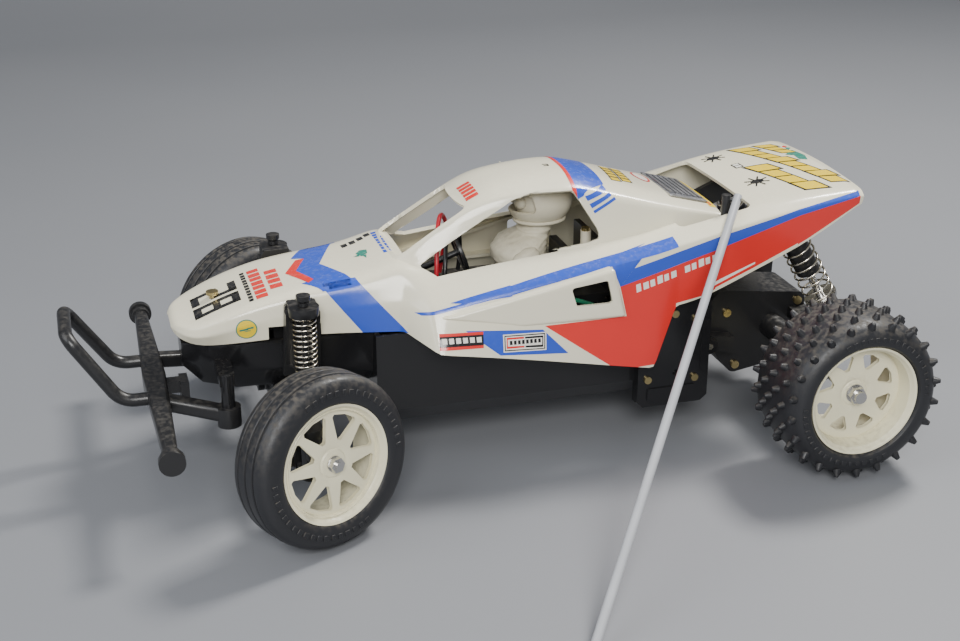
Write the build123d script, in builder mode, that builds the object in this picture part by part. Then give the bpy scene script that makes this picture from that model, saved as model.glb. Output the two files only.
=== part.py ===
"""Off-road radio-controlled buggy: tub chassis, swing-arm front end and trailing rear axle.

+X is forward, +Y is the driver's left and +Z is up. The origin is on the ground,
on the centreline, midway between the axles. Sizes are millimetres.
At rest the front wheels are on full left lock and the springs are fully out.
"""
from build123d import *
import os
from math import cos, hypot, radians, sin

os.makedirs("parts", exist_ok=True)

# ---------------------------------------------------------------- driving dimensions
wheelbase = 256.0
front_x = wheelbase / 2
rear_x = -wheelbase / 2
wall = 1.8                       # moulded shell thickness
gap = 0.3                        # clearance between moving pieces

steer_lock = 24.9                # front wheels' left lock, degrees
camber = 5.0                     # front wheel tops lean inwards, degrees
kingpin_y = 83.0
kingpin_z = 39.1                 # where the stub axle meets the kingpin
kingpin_r = 1.5
tread_offset = 8.0               # kingpin to the middle of the front tread
front_tyre_r = 39.5
front_tyre_w = 25.0
rim_r = 26.0                     # bead seat of every rim
lip_r = 27.2
front_rim_w = 23.0
steering_arm = 15.0              # kingpin to the track rod's eye
stub_r = 1.95

arm_pivot_y = 16.0
arm_pivot_z = 30.0
damper_x = 122.0
damper_y = 43.2
damper_foot_z = 38.0
front_spring_top = 88.0
front_spring_bottom = 57.6
front_spring_r = 5.6

rear_axle_z = 42.4
rear_tyre_y = 92.5               # middle of the rear tread
rear_tyre_w = 42.0
rear_tyre_r = 40.2
pin_height = 2.2
rear_rim_w = 39.0
half_shaft_r = 2.95
rear_pivot = (-88.0, 40.0)       # x, z of the gearbox pivot
rear_damper_y = 37.0
rear_damper_top = (-118.5, 108.0)
rear_damper_foot = (-146.5, 59.0)
rear_spring_r = 8.0

gear_module = 0.8
drive_teeth = 36
counter_small_teeth = 14
counter_large_teeth = 32
pinion_teeth = 10
counter_axis = (-108.06, 40.73)  # x, z
motor_axis = (-101.0, 56.0)
motor_r = 13.8

tub_floor = 21.0
tub_rim = 71.0
tub_front = 88.0
tub_back = -80.0
tub_half = 38.0
tub_back_half = 41.0

antenna_pivot = Vector(-91.39, 38.79, 121.54)
antenna_way = Vector(0.5414, 0.6885, -0.4832)
antenna_hinge = Vector(0.7861, -0.6181, 0.0)
antenna_r = 2.05
antenna_length = 249.0
antenna_stub = 2.6               # pipe behind its pin


# ---------------------------------------------------------------- helpers
def finish(piece, label):
    """Name a finished sub-part and write it."""
    piece.label = label
    export_step(piece, f"parts/{label}.step")


def mirrored_outline(half):
    """Close a right-and-left outline from its left half, centre point first."""
    return half + [(-y, z) for y, z in reversed(half) if y > 0]


def side_name(side):
    return "left" if side > 0 else "right"


def axle_direction(side):
    """Outward direction of a front stub axle at rest."""
    lean = Vector(0, side * cos(radians(camber)), sin(radians(camber)))
    return lean.rotate(Axis.Z, steer_lock)


def hub_plane(side, along=0.0):
    """Plane square to a front stub axle, a distance out from its kingpin."""
    way = axle_direction(side)
    ahead = Vector(1, 0, 0).rotate(Axis.Z, steer_lock)
    return Plane(origin=Vector(front_x, side * kingpin_y, kingpin_z) + way * along, x_dir=ahead, z_dir=way)


def rear_plane(side, along=0.0):
    """Plane square to a rear half shaft, a distance out from the centreline."""
    return Plane(origin=(rear_x, side * along, rear_axle_z), x_dir=(1, 0, 0), z_dir=(0, side, 0))


def damper_plane(side, along=0.0):
    """Plane square to a rear damper, a distance down from its top pin."""
    way = Vector(rear_damper_foot[0] - rear_damper_top[0], 0, rear_damper_foot[1] - rear_damper_top[1])
    way = way.normalized()
    top = Vector(rear_damper_top[0], side * rear_damper_y, rear_damper_top[1])
    return Plane(origin=top + way * along, x_dir=(0, side, 0), z_dir=way)


def disc(plane, radius, length, bore=0.0):
    """A round bar or a ring standing on a plane."""
    with BuildPart() as piece:
        with BuildSketch(plane):
            Circle(radius)
            if bore:
                Circle(bore, mode=Mode.SUBTRACT)
        extrude(amount=length)
    return piece.part


def toothed_wheel(plane, teeth, length, bore):
    """A spur gear whose teeth stop just short of the pitch circle of its mate."""
    pitch_r = gear_module * teeth / 2
    tip_r = pitch_r - 0.12
    root_r = pitch_r - 1.2
    with BuildPart() as wheel:
        with BuildSketch(plane):
            Circle(root_r + 0.05)
            with PolarLocations(0, teeth):
                with Locations(((root_r + tip_r) / 2, 0)):
                    Rectangle(tip_r - root_r, gear_module * 1.35)
            if bore:
                Circle(bore, mode=Mode.SUBTRACT)
        extrude(amount=length)
    return wheel.part


def wire(points, radius):
    """A lead along straight runs joined by the largest arcs that fit."""
    corners = [Vector(*p) for p in points]
    radii = []
    for before, here, after in zip(corners, corners[1:], corners[2:]):
        arriving = here - before
        leaving = after - here
        turn = radians(arriving.get_angle(leaving))
        shorter = min(arriving.length, leaving.length)
        radii.append(0.45 * shorter / (sin(turn / 2) / cos(turn / 2)))
    with BuildPart() as lead:
        with BuildLine() as route:
            FilletPolyline(*corners, radius=radii)
        with BuildSketch(Plane(origin=corners[0], z_dir=corners[1] - corners[0])):
            Circle(radius)
        sweep(path=route.wires()[0])
    print("lead radii", [round(r, 1) for r in radii], "length", round(route.wires()[0].length, 1))
    return lead.part


# ---------------------------------------------------------------- chassis tub
tub_section = [(0, tub_floor), (26, tub_floor), (tub_half, 32), (tub_half, tub_rim)]
tub_inside = [(0, tub_floor + 2), (25, tub_floor + 2), (tub_half - 2, 33), (tub_half - 2, tub_rim + 5)]
bow_stations = [                 # x, floor half-width, floor z, chine (y, z), rim half-width, rim z
    (tub_front, 20, 42, (29, 50), 32, tub_rim),
    (120, 14, 42, (26, 54), 28.5, tub_rim),
    (150, 10, 41, (19, 54), 23, 68.5),
    (166, 6, 44, (13, 55), 17, 68),
    (175, 3, 53, (8, 59), 10, 67),
]
with BuildPart() as chassis_tub:
    with BuildSketch(Plane.YZ.offset(tub_back)):
        with BuildLine():
            Polyline(*mirrored_outline(tub_section), close=True)
        make_face()
    extrude(amount=tub_front - tub_back)
    with BuildSketch(Plane.YZ.offset(tub_back + 2.5)):
        with BuildLine():
            Polyline(*mirrored_outline(tub_inside), close=True)
        make_face()
    extrude(amount=tub_front - tub_back - 5, mode=Mode.SUBTRACT)
    # the bow is a hollow boat hull under the nose
    for x, floor_y, floor_z, chine, rim_y, rim_z in bow_stations:
        half = [(0, floor_z), (floor_y, floor_z), chine, (rim_y, rim_z)]
        with BuildSketch(Plane.YZ.offset(x)):
            with BuildLine():
                Polyline(*mirrored_outline(half), close=True)
            make_face()
    loft(ruled=True)
    for x, floor_y, floor_z, chine, rim_y, rim_z in bow_stations[:-1]:
        x_in = x + 3 if x == tub_front else x
        half = [(0, floor_z + 2), (max(floor_y - 1, 1), floor_z + 2), (chine[0] - 2, chine[1]),
                (rim_y - 2, rim_z + 6)]
        with BuildSketch(Plane.YZ.offset(x_in)):
            with BuildLine():
                Polyline(*mirrored_outline(half), close=True)
            make_face()
    loft(ruled=True, mode=Mode.SUBTRACT)
    # broad rear end, where the side plates are screwed on
    for side in (1, -1):
        with Locations((-61, side * 39.0, 45)):
            Box(38, 4, 48)
    # lug block for the front arms
    with Locations((front_x, 0, 35.5)):
        Box(12, 2 * arm_pivot_y, 13.6)
    for side in (1, -1):
        with BuildSketch(Plane.YZ.offset(front_x - 6)):
            with Locations((side * arm_pivot_y, arm_pivot_z)):
                Circle(4)
        extrude(amount=12)
    with BuildSketch(Plane.YZ.offset(front_x - 7)):
        with Locations((arm_pivot_y, arm_pivot_z), (-arm_pivot_y, arm_pivot_z)):
            Circle(1.5)
    extrude(amount=14, mode=Mode.SUBTRACT)
    # bumper posts on brackets out of the bow
    for side in (1, -1):
        with Locations((157.5, side * 26.0, 57)):
            Box(7, 20, 6)
        with Locations((157.5, side * 34.0, 46.5)):
            Cylinder(3.2, 26)
    # ears for the gearbox pivot
    for side in (1, -1):
        with BuildSketch(Plane.XZ.offset(-side * 25 - 2)):
            with BuildLine():
                Polyline((tub_back, 32), (rear_pivot[0], 35.5), (rear_pivot[0], 44.5), (tub_back, 52), close=True)
            make_face()
            with Locations(rear_pivot):
                Circle(4.5)
                Circle(1.5, mode=Mode.SUBTRACT)
        extrude(amount=4)
    # servo shaft hole in the bow's floor
    with Locations((98, 0, 43)):
        Cylinder(5, 8, mode=Mode.SUBTRACT)
    # switch slot in the right wall
    with Locations((0, -tub_half + 1, 45)):
        Box(14, 6, 5, mode=Mode.SUBTRACT)
finish(chassis_tub.part, "chassis_tub")

# ---------------------------------------------------------------- front bumper
bar_z = 45.5
bar_x = 188.2
with BuildPart() as front_bumper:
    for side in (1, -1):
        with BuildSketch(Plane.XZ):
            with Locations((bar_x, bar_z)):
                RectangleRounded(11, 9, 2)
        with BuildSketch(Plane.XZ.offset(-side * 82)):
            with Locations((bar_x, bar_z)):
                RectangleRounded(6.5, 6.5, 2)
        loft()
        with BuildSketch(Plane.XZ.offset(-side * 81)):
            with Locations((bar_x, bar_z)):
                Circle(4.6)
        extrude(amount=-side * 4)
        with BuildSketch(Plane.XZ.offset(-side * 85)):
            with Locations((bar_x, bar_z)):
                Circle(5.8)
        extrude(amount=-side * 4)
        # arm back to the collar on its post
        with BuildLine() as arm_line:
            Line((bar_x, side * 24, bar_z), (157.5, side * 34, 39))
        with BuildSketch(Plane(origin=(bar_x, side * 24, bar_z), z_dir=(157.5 - bar_x, side * 10, 39 - bar_z))):
            RectangleRounded(8, 7, 2)
        sweep(path=arm_line.wires()[0])
        with Locations((157.5, side * 34, 38.5)):
            Cylinder(5.6, 9.5)
    with BuildLine() as hoop_line:
        FilletPolyline((185, 22.1, 46.2), (204.8, 22.1, 46.4), (226.3, 17.9, 79.0),
                       (226.3, -17.9, 79.0), (204.8, -22.1, 46.4), (185, -22.1, 46.2),
                       radius=[12, 7, 7, 12])
    with BuildSketch(Plane(origin=(185, 22.1, 46.2), z_dir=(1, 0, 0))):
        Circle(3.1)
    sweep(path=hoop_line.wires()[0])
    with Locations((180.5, 0, 41.5)):
        Box(13, 6, 6)
    with Locations((174.5, 0, 38.5)):
        Box(4, 12, 12)
    # the collars are bored for the posts
    with Locations((157.5, 34, 40), (157.5, -34, 40)):
        Cylinder(3.2, 30, mode=Mode.SUBTRACT)
finish(front_bumper.part, "front_bumper")

# ---------------------------------------------------------------- front towers
with BuildPart() as front_towers:
    for side in (1, -1):
        with BuildSketch(Plane.XZ.offset(-side * 35.05)):
            with BuildLine():
                Polyline((115, 56), (131.5, 56), (129.5, 90), (128, 92.5), (116.5, 92.5), (115, 90), close=True)
            make_face()
        extrude(amount=1.25, both=True)
        with Locations((122.5, side * 31.9, 61)):
            Box(13, 5.8, 8)
        with BuildSketch(Plane.XY.offset(88.3)):
            with Locations((damper_x, side * damper_y)):
                Circle(7)
            with Locations((damper_x, side * 39)):
                Rectangle(13, 8)
        extrude(amount=4.2)
        for x in (114.2, 128.4):
            with BuildSketch(Plane.YZ.offset(x)):
                with BuildLine():
                    Polyline((side * 36, 88.5), (side * 42, 88.5), (side * 36, 60), close=True)
                make_face()
            extrude(amount=1.6)
        with Locations((damper_x, side * damper_y, 90)):
            Cylinder(1.58, 8, mode=Mode.SUBTRACT)
finish(front_towers.part, "front_towers")

# ---------------------------------------------------------------- body shell
hull_stations = [                # x, crown z, ridge (y, z), crease (y, z), lower edge (y, z)
    (178.0, 78.4, (12.0, 77.8), (13.0, 75.5), (11.5, 72.5)),
    (171.0, 79.2, (24.0, 78.0), (24.5, 74.0), (20.5, 69.5)),
    (158.0, 84.9, (27.0, 84.0), (27.8, 77.0), (25.0, 70.0)),
    (137.0, 91.7, (28.5, 91.0), (30.0, 82.0), (30.0, 72.5)),
    (115.0, 95.2, (28.0, 94.3), (31.0, 84.0), (32.0, 73.5)),
    (94.0, 97.6, (28.5, 95.6), (32.0, 84.0), (34.0, 72.5)),
    (73.0, 104.8, (28.0, 103.5), (36.0, 85.0), (36.5, 71.7)),
    (62.0, 101.0, (30.0, 98.5), (45.5, 83.5), (56.5, 66.5)),
    (20.0, 103.0, (32.0, 101.0), (48.5, 91.4), (56.0, 59.0)),
    (-25.0, 105.0, (32.0, 104.5), (50.0, 99.4), (54.0, 49.0)),
    (-46.0, 107.0, (33.0, 107.0), (50.5, 103.5), (52.5, 44.5)),
    (-57.0, 108.5, (34.0, 109.5), (50.5, 105.5), (50.3, 75.0)),
    (-72.0, 111.0, (36.0, 112.0), (50.5, 108.5), (49.4, 77.0)),
    (-97.0, 119.5, (40.0, 118.7), (50.0, 114.0), (49.0, 88.0)),
    (-126.0, 125.5, (43.0, 122.5), (49.5, 118.2), (48.8, 100.0)),
    (-154.0, 127.0, (45.0, 124.0), (48.5, 121.0), (48.0, 116.5)),
]
cabin_stations = [               # x, roof edge (y, z), shoulder (y, z), foot (y, z), crown z
    (73.0, (12, 104.2), (22, 103.0), (27.0, 99), 104.5),
    (39.0, (12, 125.5), (20, 123.5), (29.0, 98), 126.0),
    (25.0, (12, 132.5), (24, 128.5), (31.0, 98), 133.5),
    (0.0, (13, 135.5), (25.5, 130), (32.0, 98), 136.5),
    (-14.0, (13, 135.3), (26, 129.5), (33.0, 99), 136.3),
    (-32.0, (15, 130.3), (28, 125), (34.0, 101), 131.0),
    (-62.0, (22, 121.0), (30, 117), (31.5, 106), 121.0),
    (-88.0, (22, 114.0), (29.6, 112), (31.0, 107), 114.0),
]


# air box along each pod, deepest at its rear
with BuildPart() as air_boxes:
    for side in (1, -1):
        with BuildSketch(Plane.XY.offset(70)):
            with BuildLine():
                Polyline((60, side * 50.2), (-24, side * 57), (-31, side * 57), (-31, side * 51), (60, side * 47),
                         close=True)
            make_face()
        extrude(amount=30)
    with BuildSketch(Plane.XZ):
        with BuildLine():
            Polyline((60, 80.5), (-24, 98), (-31, 73.5), (21, 73.5), close=True)
        make_face()
    extrude(amount=70, both=True, mode=Mode.INTERSECT)

with BuildPart() as hull:
    for x, crown, ridge, crease, low in hull_stations:
        with BuildSketch(Plane.YZ.offset(x)):
            with BuildLine():
                Polyline(*mirrored_outline([(0, crown), ridge, crease, low]), close=True)
            make_face()
    loft(ruled=True)
    for x, crown, ridge, crease, low in hull_stations:
        x_in = {178.0: 175.8, -154.0: -156.0}.get(x, x)
        half = [(0, crown - wall), (ridge[0] - wall, ridge[1] - wall), (crease[0] - wall, crease[1]),
                (low[0] - wall, low[1] - 30)]
        with BuildSketch(Plane.YZ.offset(x_in)):
            with BuildLine():
                Polyline(*mirrored_outline(half), close=True)
            make_face()
    loft(ruled=True, mode=Mode.SUBTRACT)
    # rear opening round the engine cover
    with Locations((-81, 0, 115)):
        Box(36, 82, 24, mode=Mode.SUBTRACT)
    # notch for the front towers
    with Locations((124.5, 0, 74)):
        Box(24, 80, 10, mode=Mode.SUBTRACT)
    add(air_boxes.part)
    with Locations((-12.5, 0, 85.5)):
        Box(15, 130, 11, mode=Mode.SUBTRACT)

with BuildPart() as cabin:
    for x, edge, shoulder, foot, crown in cabin_stations:
        with BuildSketch(Plane.YZ.offset(x)):
            with BuildLine():
                Polyline(*mirrored_outline([(0, crown), edge, shoulder, foot]), close=True)
            make_face()
    loft(ruled=True)
with BuildPart() as cabin_room:
    for x, edge, shoulder, foot, crown in cabin_stations:
        half = [(0, crown - wall), (edge[0] - 0.5, edge[1] - wall), (shoulder[0] - wall, shoulder[1] - wall),
                (foot[0] - wall, 90)]
        x_in = {73.0: 71.5, -88.0: -90.0}.get(x, x)
        with BuildSketch(Plane.YZ.offset(x_in)):
            with BuildLine():
                Polyline(*mirrored_outline(half), close=True)
            make_face()
    loft(ruled=True)

with BuildPart() as body_shell:
    add(hull.part)
    add(cabin.part)
    add(cabin_room.part, mode=Mode.SUBTRACT)
    # side windows, through both sides
    with BuildSketch(Plane.XZ):
        with BuildLine():
            Polyline((60, 101), (-25, 106.5), (-13, 127), (31, 125.5), close=True)
        make_face()
    extrude(amount=45, both=True, mode=Mode.SUBTRACT)
    # windscreen between the pillars
    with BuildSketch(Plane(origin=(54, 0, 113.5), x_dir=(0, 1, 0), z_dir=(0.57, 0, 0.82))):
        with BuildLine():
            Polyline((-19, -16.5), (19, -16.5), (16, 16), (-16, 16), close=True)
        make_face()
    extrude(amount=5, both=True, mode=Mode.SUBTRACT)
    with Locations((158, 0, 83)):
        Cylinder(1.6, 12, mode=Mode.SUBTRACT)
finish(body_shell.part, "body_shell")

# ---------------------------------------------------------------- louvre panel on the engine cover
louvre_slope = Plane(origin=(-75, 0, 117.5), x_dir=(-26, 0, -7), z_dir=(-7, 0, 26))
with BuildPart() as louvre_panel:
    with BuildSketch(louvre_slope.offset(0.15)):
        RectangleRounded(21, 40, 1)
    extrude(amount=0.6)
    with BuildSketch(louvre_slope.offset(0.7)):
        with GridLocations(3.2, 0, 6, 1):
            Rectangle(1.8, 32)
    extrude(amount=0.8)
finish(louvre_panel.part, "louvre_panel")

# ---------------------------------------------------------------- cockpit
with BuildPart() as cockpit_tray:
    with Locations((15, 0, 75)):
        Box(100, 54, 2)
    with Locations((60, 0, 82)):
        Box(6, 46, 14)
    with Locations((-33, 0, 86)):
        Box(3, 50, 22)
    with Locations((-16.5, 0, 84)):
        Box(4, 30, 18)
    # steering column and wheel
    with BuildSketch(Plane(origin=(57, 0, 88), z_dir=(-1, 0, 0.35))):
        Circle(1.6)
    extrude(amount=21)
    with BuildSketch(Plane(origin=(38.1, 0, 94.6), z_dir=(-1, 0, 0.35))):
        Circle(10)
        Circle(8.2, mode=Mode.SUBTRACT)
        Rectangle(18, 2.2)
        Circle(3)
    extrude(amount=1.8)
    # feet down to the tub's rim
    for side in (1, -1):
        with Locations((15, side * 25, 73)):
            Box(90, 2, 3.9)
finish(cockpit_tray.part, "cockpit_tray")

with BuildPart() as driver_torso:
    with BuildSketch(Plane.XY.offset(76.2)):
        with Locations((3, 0)):
            Ellipse(9, 12)
    with BuildSketch(Plane.XY.offset(92)):
        with Locations((4, 0)):
            Ellipse(10.5, 16)
    with BuildSketch(Plane.XY.offset(101)):
        with Locations((0, 0)):
            Ellipse(8.5, 13)
    with BuildSketch(Plane.XY.offset(104.6)):
        with Locations((-2, 0)):
            Ellipse(6, 7)
    loft()
finish(driver_torso.part, "driver_torso")

helmet_centre = (-4, 117.8)       # x, z
with BuildPart() as driver_helmet:
    with BuildSketch(Plane.XZ):
        with Locations(helmet_centre):
            Ellipse(16.5, 13.2)
        with Locations((helmet_centre[0], helmet_centre[1] - 10)):
            Rectangle(40, 20, mode=Mode.SUBTRACT)
    revolve(axis=Axis((helmet_centre[0], 0, helmet_centre[1]), (1, 0, 0)))
    with Locations((helmet_centre[0], 0, 98)):
        Box(40, 40, 14, mode=Mode.SUBTRACT)
    with Locations((10, 0, 117)):
        Box(6, 15, 6, mode=Mode.SUBTRACT)
finish(driver_helmet.part, "driver_helmet")

with BuildPart() as body_post:
    with Locations((-25, 10, 76.2)):
        Cylinder(4, 3, align=(Align.CENTER, Align.CENTER, Align.MIN))
        Cylinder(2.6, 27, align=(Align.CENTER, Align.CENTER, Align.MIN))
finish(body_post.part, "body_post")

# ---------------------------------------------------------------- side plates
for side in (1, -1):
    with BuildPart() as side_plate:
        with BuildSketch(Plane.XZ.offset(-side * 41.1)):
            with BuildLine():
                Polyline((-42, 22), (-42, 40), (-52, 74), (-56, 75.5), (-76, 75.5), (-79.5, 72), (-79.5, 22),
                         (-76, 19), (-45, 19), close=True)
            make_face()
            with Locations((-62, 36)):
                Circle(1.6, mode=Mode.SUBTRACT)
        extrude(amount=-side * 2.6)
        with BuildSketch(Plane.XZ.offset(-side * 43.6)):
            with Locations((-60, 25.5)):
                RectangleRounded(26, 7, 1.5)
            with Locations((-76.8, 50)):
                RectangleRounded(4.4, 28, 2)
        extrude(amount=-side * 1.0)
    finish(side_plate.part, f"side_plate_{side_name(side)}")

# ---------------------------------------------------------------- electrics in the tub
with BuildPart() as battery_pack:
    with Locations((5, 0, 36)):
        Box(134, 45, 22)
    fillet(battery_pack.edges().filter_by(Axis.X), 9)
finish(battery_pack.part, "battery_pack")

with BuildPart() as receiver:
    with Locations((40, 0, 56)):
        Box(40, 30, 15)
    fillet(receiver.edges().filter_by(Axis.Z), 3)
finish(receiver.part, "receiver")

with BuildPart() as speed_controller:
    with Locations((-35, 0, 55)):
        Box(44, 36, 13)
    with Locations((-35, 0, 61)):
        with GridLocations(5, 0, 7, 1):
            Box(1.6, 30, 7, align=(Align.CENTER, Align.CENTER, Align.MIN))
finish(speed_controller.part, "speed_controller")

with BuildPart() as steering_servo:
    with Locations((111.6, 0, 60.6)):
        Box(40, 20, 32)
    with Locations((114.6, 0, 69)):
        Box(46, 18, 2.5)
finish(steering_servo.part, "steering_servo")

switch_y = -tub_half
with BuildPart() as power_switch:
    with Locations((0, switch_y + 4.6, 45)):
        Box(19, 5, 9)
    with Locations((0, switch_y + 3, 45)):
        Box(9, 4, 3.2, mode=Mode.SUBTRACT)
finish(power_switch.part, "power_switch")

with BuildPart() as switch_slider:
    with Locations((-2, switch_y + 0.4, 45)):
        Box(4, 5.4, 2.6)
    with Locations((-2, switch_y - 2.1, 45)):
        Box(4.6, 1.4, 3.6)
finish(switch_slider.part, "switch_slider")

lead_r = 1.1
red_route = [(54, 17, 77.4), (53, 17, 92), (51, 10, 108), (46, -2, 116), (40, -12, 106), (40, -19, 90),
             (42, -20, 77.4)]
black_route = [(49, 12, 77.4), (47.5, 12, 90), (45, 4, 102), (39, -6, 109), (33, -15, 101), (31, -20, 89),
               (32, -21, 77.4)]
green_route = [(-30, 20, 62), (-24, 31, 71), (-8, 43, 81), (8, 43, 83), (24, 33, 74), (34, 22, 66),
               (40, 13, 64.7)]
finish(wire(red_route, lead_r), "battery_lead_red")
finish(wire(black_route, lead_r), "battery_lead_black")
finish(wire(green_route, lead_r), "receiver_lead")

# ---------------------------------------------------------------- rear tower
with BuildPart() as rear_tower:
    for side in (1, -1):
        with BuildSketch(Plane.XZ.offset(-side * 25)):
            with BuildLine():
                Polyline((-72, 71.3), (-79.5, 71.3), (-86, 88), (-112, 99), (-122, 102), (-124.5, 108), (-121, 113),
                         (-114, 112), (-78, 97), (-66, 75), (-66, 71.3), close=True)
            make_face()
        extrude(amount=-side * 3)
        with BuildSketch(Plane.XZ.offset(-side * 27)):
            with Locations(rear_damper_top):
                Circle(2)
        extrude(amount=-side * 14.5)
    with Locations((-118.5, 0, 108)):
        Box(6, 52, 4)
    with Locations((-69, 0, 73.3)):
        Box(6, 52, 4)
    # post and pin that hold the antenna
    post = antenna_pivot + antenna_hinge * 5.2
    with Locations((post.X, 32.4, 97)):
        Box(5, 9.8, 3)
    with BuildSketch(Plane(origin=(post.X, post.Y, 96))):
        Circle(2.2)
    extrude(amount=antenna_pivot.Z + 2.2 - 96)
    with BuildSketch(Plane(origin=post, z_dir=-antenna_hinge)):
        Circle(1.0)
    extrude(amount=7.4)
finish(rear_tower.part, "rear_tower")

with BuildPart() as antenna_tube:
    with BuildSketch(Plane(origin=antenna_pivot - antenna_way * antenna_stub, z_dir=antenna_way)):
        Circle(antenna_r)
    extrude(amount=antenna_length)
    with BuildSketch(Plane(origin=antenna_pivot - antenna_hinge * 3, z_dir=antenna_hinge)):
        Circle(1.06)
    extrude(amount=6, mode=Mode.SUBTRACT)
finish(antenna_tube.part, "antenna_tube")

# ---------------------------------------------------------------- fasteners on the chassis
plate_screws = [(-60, 68), (-47, 34), (-72, 32.6), (-71, 64)]
with BuildPart() as chassis_screws:
    for side in (1, -1):
        face = 43.7
        for x, z in plate_screws:
            with BuildSketch(Plane.XZ.offset(-side * face)):
                with Locations((x, z)):
                    Circle(1.9)
            extrude(amount=-side * 1.3)
    with Locations((158, 0, 85.9)):
        Cylinder(2.9, 1.6, align=(Align.CENTER, Align.CENTER, Align.MIN))
    with Locations((158, 0, 80)):
        Cylinder(1.5, 6.2, align=(Align.CENTER, Align.CENTER, Align.MIN))
    with Locations((-25, 10, 103.2)):
        Cylinder(2.2, 1.5, align=(Align.CENTER, Align.CENTER, Align.MIN))
finish(chassis_screws.part, "chassis_screws")

with BuildPart() as suspension_pins:
    for side in (1, -1):
        with BuildSketch(Plane.YZ.offset(front_x - 10.5)):
            with Locations((side * arm_pivot_y, arm_pivot_z)):
                Circle(1.5)
        extrude(amount=21)
    with BuildSketch(Plane.XZ.offset(-28)):
        with Locations(rear_pivot):
            Circle(1.5)
    extrude(amount=56)
finish(suspension_pins.part, "suspension_pins")

# ---------------------------------------------------------------- steering linkage
horn_x = 98.0
horn_end_x = horn_x + steering_arm * cos(radians(steer_lock))
horn_end_y = -steering_arm * sin(radians(steer_lock))
horn_z = 35.0
with BuildPart() as servo_horn:
    with BuildSketch(Plane.XY.offset(horn_z)):
        with Locations((horn_x, 0)):
            Circle(4.5)
        with Locations((horn_end_x, horn_end_y)):
            with Locations(Rotation(0, 0, -steer_lock)):
                SlotOverall(14, 4.4, rotation=90)
        with BuildLine():
            Polyline((horn_x, 2.5), (horn_end_x + 0.8, horn_end_y + 2), (horn_end_x - 0.8, horn_end_y - 2),
                     (horn_x, -2.5), close=True)
        make_face()
    extrude(amount=2.4)
    with Locations((horn_x, 0, horn_z)):
        Cylinder(3, 9.2, align=(Align.CENTER, Align.CENTER, Align.MIN))
finish(servo_horn.part, "servo_horn")

rod_z = 31.6
for side in (1, -1):
    knuckle_end = Vector(front_x - (horn_end_x - horn_x), side * kingpin_y + horn_end_y, rod_z)
    inner_end = Vector(horn_end_x, horn_end_y + side * 5.2, rod_z)
    reach = knuckle_end - inner_end
    with BuildPart() as tie_rod:
        with BuildSketch(Plane(origin=inner_end, z_dir=reach)):
            Circle(1.2)
        extrude(amount=reach.length - 3.6)
        with Locations((knuckle_end.X, knuckle_end.Y, rod_z)):
            Cylinder(4.2, 3)
        with Locations((knuckle_end.X, knuckle_end.Y, rod_z)):
            Cylinder(3.0, 4, mode=Mode.SUBTRACT)
        with Locations((inner_end.X, inner_end.Y, rod_z)):
            Cylinder(2.6, 3)
    finish(tie_rod.part, f"tie_rod_{side_name(side)}")

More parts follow.
